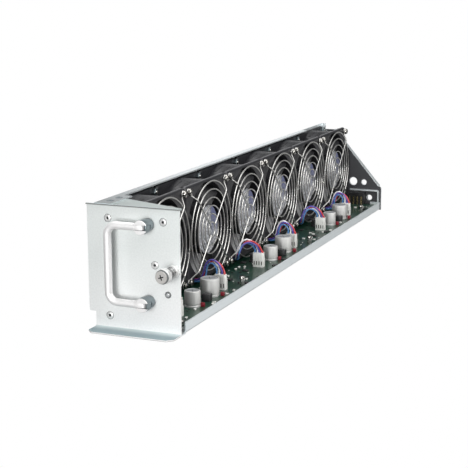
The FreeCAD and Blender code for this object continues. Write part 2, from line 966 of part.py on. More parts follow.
def make_film_caps():
    places = []
    for at in film_caps_at:
        places += pair_places(*at)
    return make_blocks(places, film_cap_size)


# Fan plugs, headers and leads


def plug_width():
    return plug_ways * plug_way_pitch + 2 * plug_margin


def plug_centre(k):
    return from_right(plug_from_right), cell_start(k) + plug_from_cell


def way_offsets():
    return [(i - (plug_ways - 1) / 2) * plug_way_pitch for i in range(plug_ways)]


def make_header(k):
    x, y = plug_centre(k)
    half_x = plug_width() / 2
    half_y = plug_depth / 2
    base = block(x - half_x, x + half_x, y - half_y, y + half_y + header_wall, board_top, board_top + header_base)
    back = block(
        x - half_x,
        x + half_x,
        y + half_y,
        y + half_y + header_wall,
        board_top,
        board_top + header_base + header_wall_height,
    )
    return fuse_all([base, back])


def make_plug(k):
    x, y = plug_centre(k)
    half_x = plug_width() / 2
    half_y = plug_depth / 2
    z0 = board_top + header_base
    z1 = z0 + plug_height
    body = block(x - half_x, x + half_x, y - half_y, y + half_y, z0, z1)
    tools = []
    for dx in way_offsets():
        half = plug_slot_width / 2
        slot_y = y - half_y + plug_slot_depth
        tools.append(block(x + dx - half, x + dx + half, y - half_y - 1, slot_y, z0 + 1, z0 + 1 + plug_slot_height))
    return cut_all(body, tools)


def lead_arc(centre, radius, first, sweep):
    """Arc in the X-Z plane from one angle, measured from +X towards +Z."""
    points = []
    for share in (0, 0.5, 1):
        turn = math.radians(first + sweep * share)
        points.append(centre + vec(radius * math.cos(turn), 0, radius * math.sin(turn)))
    return Part.Arc(*points).toShape()


def lead_edges(offset):
    """Straight runs and tangent arcs of a lead bunch, moved sideways to the left of its run."""
    height = fan_axis_height - lead_height_below_axis
    start_x = wall_in + frame_flange
    rise_x = fan_near + lead_rise_from_near_face
    plug_x = from_right(plug_from_right)
    plug_top = board_top + header_base + plug_height
    over = (plug_x - rise_x) / 2
    spring_line = plug_top + lead_bunch
    turn = lead_turn_radius
    low_centre = vec(rise_x - turn, 0, height + turn)
    top_centre = vec(rise_x + over, 0, spring_line)
    low = lead_arc(low_centre, turn - offset, -90, 90)
    top = lead_arc(top_centre, over + offset, 180, -180)
    along = Part.makeLine(vec(start_x, 0, height + offset), low.Vertexes[0].Point)
    rise = Part.makeLine(low.Vertexes[-1].Point, top.Vertexes[0].Point)
    drop = Part.makeLine(top.Vertexes[-1].Point, vec(plug_x + offset, 0, plug_top))
    return [along, low, rise, top, drop]


def make_lead_bunches():
    half = lead_bunch / 2
    left = lead_edges(half)
    right = lead_edges(-half)
    start_cap = Part.makeLine(left[0].Vertexes[0].Point, right[0].Vertexes[0].Point)
    end_cap = Part.makeLine(left[-1].Vertexes[-1].Point, right[-1].Vertexes[-1].Point)
    loop = Part.Wire(Part.__sortEdges__(left + right + [start_cap, end_cap]))
    bunch = Part.Face(loop).extrude(vec(0, lead_bunch, 0))
    bunch.translate(vec(0, -half, 0))
    middle = lead_edges(0)
    length = sum(e.Length for e in middle)
    radii = [e.Curve.Radius for e in middle if isinstance(e.Curve, Part.Circle)]
    print("lead length %.1f, bend radii %s" % (length, " and ".join("%.1f" % r for r in radii)))
    print("lead volume %.0f of %.0f" % (bunch.Volume, lead_bunch ** 2 * length))
    bunches = []
    for k in range(fan_count):
        copy = bunch.copy()
        copy.translate(vec(0, plug_centre(k)[1], 0))
        bunches.append(copy)
    return bunches


# One fan, on its own axis: X runs from the wall face of the frame to its guarded face


def frame_plate(x0, x1):
    half = fan_size / 2
    cut = half - frame_corner
    outline = []
    for sy, sz in ((1, 1), (-1, 1), (-1, -1), (1, -1)):
        first = vec(x0, sy * half, sz * cut)
        second = vec(x0, sy * cut, sz * half)
        outline += [first, second] if sy * sz > 0 else [second, first]
    return slab(outline, vec(x1 - x0, 0, 0))


def make_fan_frame():
    origin = vec(0, 0, 0)
    far = frame_plate(0, frame_flange)
    near = frame_plate(fan_depth - frame_flange, fan_depth)
    barrel = rod("x", origin, fan_depth, duct_radius + duct_wall, duct_sides)
    shell = fuse_all([far, near, barrel])
    tools = [rod("x", origin, fan_depth, duct_radius, duct_sides)]
    for p in wall_corner_points(-1):
        tools.append(rod("x", p, frame_flange + 2, screw_hole_radius, fastener_sides))
    for p in corner_points(fan_depth - frame_flange - 1):
        tools.append(rod("x", p, frame_flange + 2, guard_screw_radius, fastener_sides))
    notch_y = plug_from_cell - fan_pitch / 2
    half = lead_notch_width / 2
    low = -fan_size / 2
    notch = block(
        fan_depth - frame_flange - 1, fan_depth + 1, notch_y - half, notch_y + half, low - 1, low + lead_notch_height
    )
    tools.append(notch)
    shell = cut_all(shell, tools)
    return fuse_all([shell] + motor_mount())


def motor_mount():
    """Struts, motor seat and the tube that holds the bearing."""
    seat_start = vec(motor_seat_recess, 0, 0)
    seat = rod("x", seat_start, motor_seat_thickness, motor_seat_radius, motor_seat_sides)
    tube_start = vec(motor_seat_recess + motor_seat_thickness, 0, 0)
    outer = bearing_radius + bearing_tube_wall
    holder = tube("x", tube_start, bearing_length, outer, bearing_radius, bearing_sides)
    pieces = [seat, holder]
    for i in range(strut_count):
        strut = block(
            motor_seat_recess,
            motor_seat_recess + strut_depth,
            motor_seat_radius - 1,
            duct_radius + duct_wall / 2,
            -strut_width / 2,
            strut_width / 2,
        )
        strut.rotate(vec(0, 0, 0), AXES["x"], 360 * i / strut_count)
        pieces.append(strut)
    return pieces


def bearing_start():
    return motor_seat_recess + motor_seat_thickness


def make_bearing():
    start = vec(bearing_start(), 0, 0)
    outer = rod("x", start, bearing_length, bearing_radius, bearing_sides)
    return outer.cut(rod("x", start, bearing_length, shaft_radius + shaft_clearance, shaft_sides))


def make_stator():
    """Winding stack pressed on the bearing's tube."""
    start = vec(bearing_start() + 1, 0, 0)
    stack = rod("x", start, stator_length, stator_radius, stator_sides)
    return stack.cut(rod("x", start, stator_length, bearing_radius + bearing_tube_wall, bearing_sides))


def hub_front():
    return fan_depth - hub_face_setback


def make_shaft():
    start = bearing_start() + shaft_clearance
    return rod("x", vec(start, 0, 0), hub_front() - hub_wall - start, shaft_radius)


def blade_frame(share, radius):
    """Four corners of a blade's section at one chord step, from root side to tip side."""
    x = fan_depth - blade_front_setback - blade_axial_length * share
    span = (radius - hub_radius) / (duct_radius - blade_tip_gap - hub_radius)
    sweep = blade_root_sweep + (blade_tip_sweep - blade_root_sweep) * span
    bow = 0.35 * math.sin(math.pi * share)
    angle = math.radians(sweep * (share + 0.12 * bow) - blade_lean * span)
    slope = math.radians(sweep) * radius / blade_axial_length
    skew = blade_thickness / 2 * math.sqrt(1 + slope ** 2) / radius
    spread = skew * (0.35 + 0.65 * math.sin(math.pi * (0.15 + 0.7 * share)))
    corners = []
    for turn in (angle - spread, angle + spread):
        corners.append(vec(x, radius * math.cos(turn), radius * math.sin(turn)))
    return corners


def make_blade():
    root = hub_radius - hub_wall / 2
    tip = duct_radius - blade_tip_gap
    frames = []
    for i in range(blade_steps + 1):
        share = i / blade_steps
        inner = blade_frame(share, root)
        outer = blade_frame(share, tip)
        frames.append([inner[0], inner[1], outer[1], outer[0]])
    return skin(frames)


def make_impeller():
    """Hub cup with its blades; the shaft is moulded into the boss under its face."""
    face = hub_front()
    back = face - hub_length
    cup = rod("x", vec(back, 0, 0), hub_length, hub_radius, hub_sides)
    rim = [e for e in cup.Edges if abs(e.BoundBox.XMin - face) < 1e-4]
    cup = cup.makeChamfer(hub_edge, rim)
    hollow = rod("x", vec(back - 1, 0, 0), hub_length - hub_wall + 1, hub_radius - hub_wall, hub_hollow_sides)
    boss_length = 3.0 * hub_wall
    boss = rod("x", vec(face - hub_wall - boss_length, 0, 0), boss_length, 2.5 * shaft_radius, bearing_sides)
    bore = rod("x", vec(0, 0, 0), face - hub_wall, shaft_radius, shaft_sides)
    blade = make_blade()
    pieces = [cup.cut(hollow), boss]
    for i in range(blade_count):
        copy = blade.copy()
        copy.rotate(vec(0, 0, 0), AXES["x"], 360 * i / blade_count)
        pieces.append(copy)
    return fuse_all(pieces).cut(bore)


def make_guard():
    """Welded wire guard: concentric rings, four arms that step down to eyelets on the frame."""
    ring_x = fan_depth + guard_standoff
    arm_x = ring_x + guard_wire
    pieces = []
    for i in range(len(guard_ring_sides)):
        radius = guard_outer_radius - i * guard_ring_pitch
        half = guard_wire / 2
        start = vec(ring_x, 0, 0)
        pieces.append(tube("x", start, guard_wire, radius + half, radius - half, guard_ring_sides[i]))
    inner = guard_outer_radius - (len(guard_ring_sides) - 1) * guard_ring_pitch
    shoulder = guard_outer_radius + guard_wire
    corner = hole_offset * math.sqrt(2)
    arm_end = corner - guard_screw_radius - guard_wire
    foot = arm_end - guard_wire
    x0 = fan_depth
    outline = [
        vec(arm_x, inner, 0),
        vec(arm_x, shoulder, 0),
        vec(x0, foot, 0),
        vec(x0, arm_end, 0),
        vec(x0 + guard_wire, arm_end, 0),
        vec(x0 + guard_wire, foot, 0),
        vec(arm_x + guard_wire, shoulder, 0),
        vec(arm_x + guard_wire, inner, 0),
    ]
    arm = slab(outline, vec(0, 0, guard_wire))
    arm.translate(vec(0, 0, -guard_wire / 2))
    eye = guard_screw_radius + guard_eyelet_clearance
    eyelet = tube("x", vec(x0, corner, 0), guard_wire, guard_eyelet_radius, eye, fastener_sides)
    for i in range(4):
        for piece in (arm, eyelet):
            copy = piece.copy()
            copy.rotate(vec(0, 0, 0), AXES["x"], 45 + 90 * i)
            pieces.append(copy)
    return fuse_all(pieces)


def make_guard_screw(place):
    """Self-tapping pan-head screw through an eyelet into the frame's near flange."""
    head_x = fan_depth + guard_wire
    shank_length = guard_screw_length + guard_wire
    shank = rod("x", vec(head_x - shank_length, place.y, place.z), shank_length, guard_screw_radius, fastener_sides)
    head = rod("x", vec(head_x, place.y, place.z), guard_screw_head, guard_screw_head_radius, fastener_sides)
    return fuse_all([shank, head])


def make_wall_screw(place):
    """Screw from outside the wall, through the frame's far flange."""
    shank_length = sheet + frame_flange + wall_nut_height + 0.8
    shank = rod("x", vec(-sheet, place.y, place.z), shank_length, wall_screw_radius, fastener_sides)
    head_start = vec(-sheet - wall_screw_head, place.y, place.z)
    head = rod("x", head_start, wall_screw_head, wall_screw_head_radius, fastener_sides)
    return fuse_all([shank, head])


def make_wall_nut(place):
    start = vec(frame_flange, place.y, place.z)
    nut = rod("x", start, wall_nut_height, wall_nut_flats, 6)
    return nut.cut(rod("x", start, wall_nut_height, wall_screw_radius, fastener_sides))


def repeat_at_fans(make, places):
    pieces = []
    for place in places:
        piece = make(place)
        pieces += [at_fan(piece, k) for k in range(fan_count)]
    return pieces


# Write the nodes

export("tray_chassis", [make_tray()])
export("front_panel", [make_front_panel()])
export("front_bracket", [make_front_bracket()])
export("blind_rivets", make_panel_rivets() + make_flange_rivets() + make_rear_rivets())
export("handle_ferrules", make_handle_ferrules())
export("handle_pins", make_handle_pins())
export("handle", [make_handle()])
export("captive_bush", [make_captive_bush()])
export("captive_spring", [make_captive_spring()])
export("captive_screw", [make_captive_screw()])
export("status_light", [make_status_light()])
export("rear_plate", [make_rear_plate()])
export("rear_insulator", [make_rear_insulator()])
export("rear_connector", [make_rear_connector()])
export("connector_contacts", make_connector_contacts())
export("connector_hood", [make_connector_hood()])
export("circuit_board", [make_board()])
export("board_spacers", make_standoffs() + make_board_posts())
export("board_screws", make_board_screws())
export("small_capacitors", make_small_caps())
export("large_capacitors", make_large_caps())
export("board_parts", make_chokes() + make_regulators() + make_film_caps())
export("fan_headers", [make_header(k) for k in range(fan_count)])
export("fan_plugs", [make_plug(k) for k in range(fan_count)])

frame_piece = make_fan_frame()
impeller_piece = make_impeller()
shaft_piece = make_shaft()
guard_piece = make_guard()
bearing_piece = make_bearing()
stator_piece = make_stator()

for fan in range(fan_count):
    number = str(fan + 1)
    export("fan_frame_" + number, [at_fan(frame_piece, fan)])
    export("impeller_" + number, [at_fan(impeller_piece, fan)])
    export("rotor_shaft_" + number, [at_fan(shaft_piece, fan)])
    export("wire_guard_" + number, [at_fan(guard_piece, fan)])

export("fan_leads", make_lead_bunches())
export("bearings", [at_fan(bearing_piece, k) for k in range(fan_count)])
export("stators", [at_fan(stator_piece, k) for k in range(fan_count)])
export("guard_screws", repeat_at_fans(make_guard_screw, corner_points(0)))
export("wall_screws", repeat_at_fans(make_wall_screw, wall_corner_points(0)))
export("wall_nuts", repeat_at_fans(make_wall_nut, wall_corner_points(0)))
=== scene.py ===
"""Looks of the fan tray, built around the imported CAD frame. Metres, same axes as the CAD."""

import math
import random

import bmesh
import bpy
from mathutils import Matrix, Vector


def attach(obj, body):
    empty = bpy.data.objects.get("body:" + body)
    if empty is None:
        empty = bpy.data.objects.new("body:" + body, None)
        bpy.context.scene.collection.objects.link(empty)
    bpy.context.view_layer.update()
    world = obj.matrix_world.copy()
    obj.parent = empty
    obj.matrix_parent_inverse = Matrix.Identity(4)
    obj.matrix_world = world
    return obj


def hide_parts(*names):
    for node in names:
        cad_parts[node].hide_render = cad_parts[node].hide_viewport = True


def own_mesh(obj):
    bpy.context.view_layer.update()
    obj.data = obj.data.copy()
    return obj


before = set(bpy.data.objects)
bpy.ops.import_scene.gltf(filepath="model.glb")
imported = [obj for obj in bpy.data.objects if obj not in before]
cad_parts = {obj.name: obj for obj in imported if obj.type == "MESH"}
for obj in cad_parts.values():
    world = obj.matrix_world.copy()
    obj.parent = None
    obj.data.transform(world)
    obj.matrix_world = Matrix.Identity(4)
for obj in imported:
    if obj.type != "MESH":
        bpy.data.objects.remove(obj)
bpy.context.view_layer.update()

MM = 0.001

# Sizes that are repeated from the CAD, in millimetres unless a name says otherwise
FRONT = -290.0
REAR = 290.0
SHEET = 1.2
WALL_OUT = -38.5
WALL_IN = -37.3
RAIL_OUT = 38.5
RAIL_IN = 37.3
FAN_COUNT = 6
FAN_PITCH = 93.5
FAN_FIRST = FRONT + 11.5
FAN_HALF = 46.0
FAN_DEPTH = 32.0
FAN_AXIS = 55.3
FLANGE = 4.0
DUCT = 44.3
BARREL = 45.8
HOLE = 41.25
BOARD_TOP = 6.8
PLUG_X = RAIL_OUT - 19.2
PLUG_FROM_CELL = 20.5
PAIR_PITCH = 2 * FAN_PITCH

X_AXIS = Vector((1, 0, 0))
Y_AXIS = Vector((0, 1, 0))
Z_AXIS = Vector((0, 0, 1))


def mm(x, y, z):
    return Vector((x, y, z)) * MM


def fan_centre(k):
    return mm(WALL_IN, FAN_FIRST + FAN_PITCH * (k + 0.5), FAN_AXIS)


# Materials

IOR = 1.5
NOISE_SPAN = (0.3, 0.7)


def new_material(name):
    mat = bpy.data.materials.new(name)
    mat.use_nodes = True
    tree = mat.node_tree
    return mat, tree, tree.nodes["Principled BSDF"]


def add_node(tree, kind, **values):
    """Adds a node. A value goes to the input of its name, or else to the node's own setting."""
    node = tree.nodes.new(kind)
    for key, value in values.items():
        if key in node.inputs:
            node.inputs[key].default_value = value
        else:
            setattr(node, key, value)
    return node


def feed(tree, source, socket):
    """Links a socket to its source, or sets it where the source is a constant."""
    if isinstance(source, bpy.types.NodeSocket):
        tree.links.new(source, socket)
    else:
        socket.default_value = source


def remap(tree, value, low, high, first=0.0, last=1.0, **settings):
    """Takes low..high to first..last, and holds the ends beyond them."""
    node = add_node(tree, "ShaderNodeMapRange", **settings)
    sockets = ("Value", "From Min", "From Max", "To Min", "To Max")
    for key, source in zip(sockets, (value, low, high, first, last)):
        feed(tree, source, node.inputs[key])
    return node.outputs["Result"]


def reckon(tree, operation, a, b):
    node = add_node(tree, "ShaderNodeMath", operation=operation)
    feed(tree, a, node.inputs[0])
    feed(tree, b, node.inputs[1])
    return node.outputs["Value"]


def scaled(tree, colour, amount):
    node = add_node(tree, "ShaderNodeVectorMath", operation="SCALE")
    feed(tree, colour, node.inputs[0])
    feed(tree, amount, node.inputs["Scale"])
    return node.outputs["Vector"]


def mixed(tree, share, first, second, **settings):
    node = add_node(tree, "ShaderNodeMixRGB", **settings)
    for key, source in (("Fac", share), ("Color1", first), ("Color2", second)):
        feed(tree, source, node.inputs[key])
    return node.outputs["Color"]


def dot(tree, vector, direction):
    node = add_node(tree, "ShaderNodeVectorMath", operation="DOT_PRODUCT")
    node.inputs[1].default_value = direction
    tree.links.new(vector, node.inputs[0])
    return node.outputs["Value"]


def split(tree, vector):
    node = add_node(tree, "ShaderNodeSeparateXYZ")
    tree.links.new(vector, node.inputs["Vector"])
    return node.outputs


def grain(tree, vector, scale, detail):
    node = add_node(tree, "ShaderNodeTexNoise", Scale=scale, Detail=detail)
    tree.links.new(vector, node.inputs["Vector"])
    return node.outputs


def surface(name, colour, roughness, metallic, scale, vary, rough_vary, bump, bump_scale, coat=0.0,
            stretch=(1, 1, 1)):
    """Principled material with fine procedural variation of its colour, roughness and height."""
    mat, tree, shader = new_material(name)
    coords = add_node(tree, "ShaderNodeTexCoord")
    mapping = add_node(tree, "ShaderNodeMapping", Scale=stretch)
    tree.links.new(coords.outputs["Object"], mapping.inputs["Vector"])
    place = mapping.outputs["Vector"]
    noise = grain(tree, place, scale, 4.0)["Fac"]
    amount = remap(tree, noise, *NOISE_SPAN, 1.0 - vary, 1.0 + vary)
    tree.links.new(scaled(tree, colour, amount), shader.inputs["Base Color"])
    rough = remap(tree, noise, *NOISE_SPAN, max(0.02, roughness - rough_vary), roughness + rough_vary)
    tree.links.new(rough, shader.inputs["Roughness"])
    height = add_node(tree, "ShaderNodeBump", Strength=bump, Distance=0.0004)
    tree.links.new(grain(tree, place, bump_scale, 3.0)["Fac"], height.inputs["Height"])
    tree.links.new(height.outputs["Normal"], shader.inputs["Normal"])
    for key, value in (("Metallic", metallic), ("Coat Weight", coat), ("IOR", IOR)):
        shader.inputs[key].default_value = value
    return mat


def paint_upward_shade(mat, axis, low, high, least, level):
    """Paints shade into a material's upward faces above a level, darker towards the low end of an axis.
    Metres.
    """
    tree = mat.node_tree
    base = tree.nodes["Principled BSDF"].inputs["Base Color"]
    source = base.links[0].from_socket
    coords = add_node(tree, "ShaderNodeTexCoord")
    place = split(tree, coords.outputs["Object"])
    facing = split(tree, coords.outputs["Normal"])
    loss = remap(tree, place[axis], low, high, 1.0 - least, 0.0)
    for part in (remap(tree, place["Z"], level, level + MM), remap(tree, facing["Z"], 0.7, 0.9)):
        loss = reckon(tree, "MULTIPLY", loss, part)
    tree.links.new(scaled(tree, source, reckon(tree, "SUBTRACT", 1.0, loss)), base)
    return mat


def board_surface():
    """Solder-masked laminate with faint copper tracks under the mask."""
    mat, tree, shader = new_material("board")
    place = add_node(tree, "ShaderNodeTexCoord").outputs["Object"]
    brick = add_node(tree, "ShaderNodeTexBrick", Scale=70.0, Color1=(0.006, 0.035, 0.022, 1),
                     Color2=(0.008, 0.045, 0.028, 1), Mortar=(0.018, 0.075, 0.045, 1))
    brick.inputs["Mortar Size"].default_value = 0.03
    tree.links.new(place, brick.inputs["Vector"])
    noise = grain(tree, place, 60.0, 5.0)["Color"]
    tint = mixed(tree, 0.5, brick.outputs["Color"], noise, blend_type="MULTIPLY")
    tree.links.new(tint, shader.inputs["Base Color"])
    shader.inputs["Roughness"].default_value = 0.35
    shader.inputs["Coat Weight"].default_value = 0.3
    return mat


def panel_surface():
    """Satin zinc with a fine speckle and painted light: a painted gradient, darker and cooler towards the
    upper left and whiter towards the lower right, painted shade along the top and bottom edges, and painted
    shade on the upward faces of the folded lips. Metres.
    """
    mat, tree, shader = new_material("zinc_panel")
    coords = add_node(tree, "ShaderNodeTexCoord")
    place = split(tree, coords.outputs["Object"])
    facing = split(tree, coords.outputs["Normal"])
    # Painted light: darker and cooler towards the upper left, whiter towards the lower right.
    light_gradient = remap(tree, dot(tree, coords.outputs["Object"], (0.25, 0.0, -1.0)), -0.070, 0.004)
    tone = mixed(tree, light_gradient, (0.73, 0.76, 0.75, 1), (0.88, 0.88, 0.88, 1))
    noise = grain(tree, coords.outputs["Object"], 700.0, 3.0)["Fac"]
    speckle = remap(tree, noise, *NOISE_SPAN, 0.96, 1.04)
    # Painted shade: a dark line along the top edge and another along the bottom edge.
    rim = remap(tree, place["Z"], 0.1027, 0.1032, 1.0, 0.30)
    bottom_edge_shade = remap(tree, place["Z"], 0.0002, 0.0004, 0.25, 1.0)
    shade = reckon(tree, "MULTIPLY", reckon(tree, "MULTIPLY", rim, bottom_edge_shade), speckle)
    # Painted shade on upward faces: dark teal at the lips' front, lighter near the panel.
    lip = remap(tree, place["Y"], -0.2985, -0.2905)
    folded = mixed(tree, lip, (0.25, 0.34, 0.37, 1), (0.62, 0.70, 0.71, 1))
    whole = mixed(tree, remap(tree, facing["Z"], 0.3, 0.8), scaled(tree, tone, shade), folded)
    tree.links.new(whole, shader.inputs["Base Color"])
    tree.links.new(remap(tree, noise, 0.0, 1.0, 0.36, 0.48), shader.inputs["Roughness"])
    shader.inputs["Metallic"].default_value = 0.30
    return mat


def foil_surface():
    """Plain two-tone foil disc for the hub, with a worn silver face and a violet part."""
    mat, tree, shader = new_material("hub_foil")
    coords = add_node(tree, "ShaderNodeTexCoord").outputs["Object"]
    place = split(tree, coords)
    sideways = remap(tree, place["Y"], 6.0 * MM, 9.0 * MM)
    upwards = remap(tree, place["Z"], -8.0 * MM, 12.0 * MM)
    speckle = add_node(tree, "ShaderNodeValToRGB")
    stops = speckle.color_ramp.elements
    for stop, position, colour in zip(stops, (0.42, 0.58), ((0.19, 0.20, 0.22, 1), (0.60, 0.61, 0.64, 1))):
        stop.position = position
        stop.color = colour
    tree.links.new(grain(tree, coords, 420.0, 5.0)["Fac"], speckle.inputs["Fac"])
    share = reckon(tree, "MULTIPLY", sideways, upwards)
    tint = mixed(tree, share, speckle.outputs["Color"], (0.17, 0.19, 0.36, 1))
    tree.links.new(tint, shader.inputs["Base Color"])
    shader.inputs["Roughness"].default_value = 0.38
    shader.inputs["Metallic"].default_value = 0.4
    return mat


# Colour, roughness, metallic, grain's scale, spread of colour and of roughness, bump, its scale and the coat
LOOKS = {
    "zinc": ((0.78, 0.83, 0.85), 0.36, 0.70, 500, 0.04, 0.06, 0.05, 700),
    "satin": ((0.80, 0.80, 0.79), 0.36, 0.55, 1500, 0.04, 0.06, 0.04, 3000),
    "head_grey": ((0.48, 0.465, 0.45), 0.42, 0.30, 1500, 0.04, 0.06, 0.04, 3000),
    "bright_rod": ((0.82, 0.81, 0.81), 0.48, 0.40, 900, 0.03, 0.04, 0.02, 2200),
    "zinc_dark": ((0.50, 0.55, 0.54), 0.42, 0.70, 500, 0.04, 0.06, 0.05, 700),
    # Dark grey painted shade for thin rings: round the captive screw's head, under the rivets' heads and round
    # the status light
    "shaded_edge": ((0.16, 0.17, 0.17), 0.50, 0.30, 900, 0.05, 0.06, 0.05, 1500),
    # A dark copy of bright metal, as painted shade on the ferrules' sides, the wall nuts and the rivets on the
    # top flange
    "shaded_metal": ((0.20, 0.235, 0.25), 0.34, 0.90, 1500, 0.05, 0.06, 0.05, 3000),
    "turned": ((0.68, 0.67, 0.64), 0.24, 1.0, 1500, 0.05, 0.06, 0.05, 3000),
    "screw": ((0.36, 0.35, 0.33), 0.14, 1.0, 1500, 0.05, 0.08, 0.05, 3000),
    "wire": ((0.66, 0.65, 0.63), 0.34, 1.0, 1200, 0.05, 0.06, 0.03, 2500),
    "spring": ((0.50, 0.50, 0.50), 0.25, 1.0, 1500, 0.06, 0.06, 0.03, 2500),
    "frame": ((0.015, 0.015, 0.018), 0.42, 0.0, 500, 0.15, 0.10, 0.10, 1600),
    # A lighter copy of the frame's plastic, as a painted highlight on the guarded flange's rim
    "frame_rim_highlight": ((0.048, 0.047, 0.053), 0.40, 0.0, 500, 0.15, 0.10, 0.10, 1600),
    "impeller": ((0.018, 0.018, 0.021), 0.34, 0.0, 400, 0.12, 0.08, 0.06, 1600),
    "insulator": ((0.035, 0.036, 0.040), 0.55, 0.0, 300, 0.10, 0.10, 0.08, 900),
    "housing": ((0.012, 0.012, 0.013), 0.45, 0.0, 500, 0.10, 0.08, 0.08, 1500),
    "can_top": ((0.40, 0.41, 0.42), 0.50, 0.5, 700, 0.05, 0.06, 0.04, 1500),
    "component": ((0.030, 0.030, 0.032), 0.45, 0.0, 700, 0.15, 0.10, 0.08, 1500),
    "can": ((0.60, 0.60, 0.59), 0.55, 0.50, 700, 0.05, 0.06, 0.04, 1500),
    "nylon": ((0.80, 0.80, 0.77), 0.40, 0.0, 400, 0.04, 0.08, 0.05, 1300, 0.15),
    "contact": ((0.75, 0.60, 0.32), 0.30, 1.0, 900, 0.06, 0.08, 0.04, 2000),
    "bronze": ((0.48, 0.33, 0.17), 0.45, 1.0, 900, 0.10, 0.10, 0.10, 2200),
    "copper": ((0.45, 0.18, 0.08), 0.35, 1.0, 900, 0.15, 0.10, 0.15, 1800),
    "lens": ((0.42, 0.43, 0.44), 0.22, 0.0, 500, 0.06, 0.04, 0.02, 1200, 0.5),
    # Near-black painted shade for recesses, holes, slots and the wall flange's shaded rim
    "painted_shade": ((0.010, 0.010, 0.012), 0.60, 0.0, 500, 0.10, 0.05, 0.05, 900),
    "crimson": ((0.22, 0.010, 0.022), 0.35, 0.0, 500, 0.08, 0.08, 0.05, 1500, 0.2),
    "red": ((0.58, 0.05, 0.06), 0.40, 0.0, 500, 0.08, 0.08, 0.05, 1500, 0.2),
    "white": ((0.92, 0.91, 0.93), 0.40, 0.0, 500, 0.04, 0.08, 0.05, 1500, 0.2),
    "violet": ((0.12, 0.09, 0.42), 0.40, 0.0, 500, 0.08, 0.08, 0.05, 1500, 0.2),
    "light_blue": ((0.10, 0.26, 0.55), 0.40, 0.0, 500, 0.08, 0.08, 0.05, 1500, 0.2),
    "zinc_tray": ((0.78, 0.83, 0.85), 0.36, 0.70, 500, 0.04, 0.06, 0.05, 700),
}
ROLLED = (1.0, 0.08, 1.0)
EVEN = (1, 1, 1)
STRETCH = {"zinc": ROLLED, "zinc_dark": ROLLED, "zinc_tray": ROLLED, "can": (1, 1, 0.1), "copper": (0.1, 1, 1)}
M = {key: surface(key, *row, stretch=STRETCH.get(key, EVEN)) for key, row in LOOKS.items()}
# Painted shade on the tray's upward faces at the top flange, darker towards the front.
M["zinc_tray"] = paint_upward_shade(M["zinc_tray"], "Y", -0.285, -0.12, 0.42, 0.100)
M["zinc_panel"] = panel_surface()
M["board"] = board_surface()
M["foil"] = foil_surface()


# Mesh building


def finish_mesh(name, bm, materials, angle):
    """Turns a bmesh into a smooth mesh, with sharp edges from an angle on. Faces keep their material."""
    mesh = bpy.data.meshes.new(name)
    bm.normal_update()
    bmesh.ops.recalc_face_normals(bm, faces=bm.faces)
    bm.to_mesh(mesh)
    bm.free()
    for key in materials:
        mesh.materials.append(M[key])
    mesh.shade_smooth()
    mesh.set_sharp_from_angle(angle=math.radians(angle))
    return mesh


def place_mesh(name, mesh, body, replaces=(), place=None):
    obj = bpy.data.objects.new(name, mesh)
    bpy.context.scene.collection.objects.link(obj)
    if place is not None:
        obj.location = place
    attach(obj, body)
    if replaces:
        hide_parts(*replaces)
    return obj


def add_piece(name, bm, materials, body, replaces=(), angle=32):
    return place_mesh(name, finish_mesh(name, bm, materials, angle), body, replaces)


def across(direction):
    """Two unit vectors square to a direction and to each other."""
    direction = direction.normalized()
    helper = Z_AXIS if abs(direction.z) < 0.9 else Y_AXIS
    first = direction.cross(helper).normalized()
    return first, direction.cross(first).normalized()


def ring_of(bm, centre, first, second, radius, sides, turn=0.0):
    verts = []
    for i in range(sides):
        angle = 2 * math.pi * i / sides + turn
        u, v = radius * math.cos(angle), radius * math.sin(angle)
        verts.append(bm.verts.new(centre + first * u + second * v))
    return verts


def bridge(bm, a, b, index=0):
    count = len(a)
    for i in range(count):
        face = bm.faces.new((a[i], a[(i + 1) % count], b[(i + 1) % count], b[i]))
        face.material_index = index


def cap(bm, ring, index=0):
    face = bm.faces.new(ring)
    face.material_index = index


def lathe(bm, origin, direction, profile, sides=48, index=0):
    """Turned form with closed ends. The profile lists (radius, distance along), in millimetres."""
    first, second = across(direction)
    rings = []
    for radius, along in profile:
        centre = origin + direction * (along * MM)
        rings.append(ring_of(bm, centre, first, second, max(radius, 0.02) * MM, sides))
    for a, b in zip(rings, rings[1:]):
        bridge(bm, a, b, index)
    cap(bm, rings[0], index)
    cap(bm, rings[-1], index)
    return rings


def tube(bm, points, radius, sides=10, closed=False, index=0):
    """Round bar along points, with a frame carried from point to point so that it doesn't twist."""
    count = len(points)
    tangents = []
    for i in range(count):
        before = points[(i - 1) % count] if closed or i else points[i]
        after = points[(i + 1) % count] if closed or i < count - 1 else points[i]
        tangents.append((after - before).normalized())
    first = across(tangents[0])[0]
    rings = []
    for i in range(count):
        tangent = tangents[i]
        first = (first - tangent * first.dot(tangent)).normalized()
        second = tangent.cross(first)
        rings.append(ring_of(bm, points[i], first, second, radius * MM, sides))
    for a, b in zip(rings, rings[1:]):
        bridge(bm, a, b, index)
    if closed:
        shift = best_shift(rings[-1], rings[0])
        last = rings[0][shift:] + rings[0][:shift]
        bridge(bm, rings[-1], last, index)
    else:
        cap(bm, rings[0], index)
        cap(bm, rings[-1], index)


def best_shift(ring, other):
    lengths = []
    for shift in range(len(other)):
        lengths.append((ring[0].co - other[shift].co).length)
    return lengths.index(min(lengths))


def circle_points(centre, first, second, radius, count, start=0.0, sweep=2 * math.pi, closed=True):
    steps = count if closed else count - 1
    points = []
    for i in range(count):
        angle = start + sweep * i / steps
        u, v = radius * MM * math.cos(angle), radius * MM * math.sin(angle)
        points.append(centre + first * u + second * v)
    return points


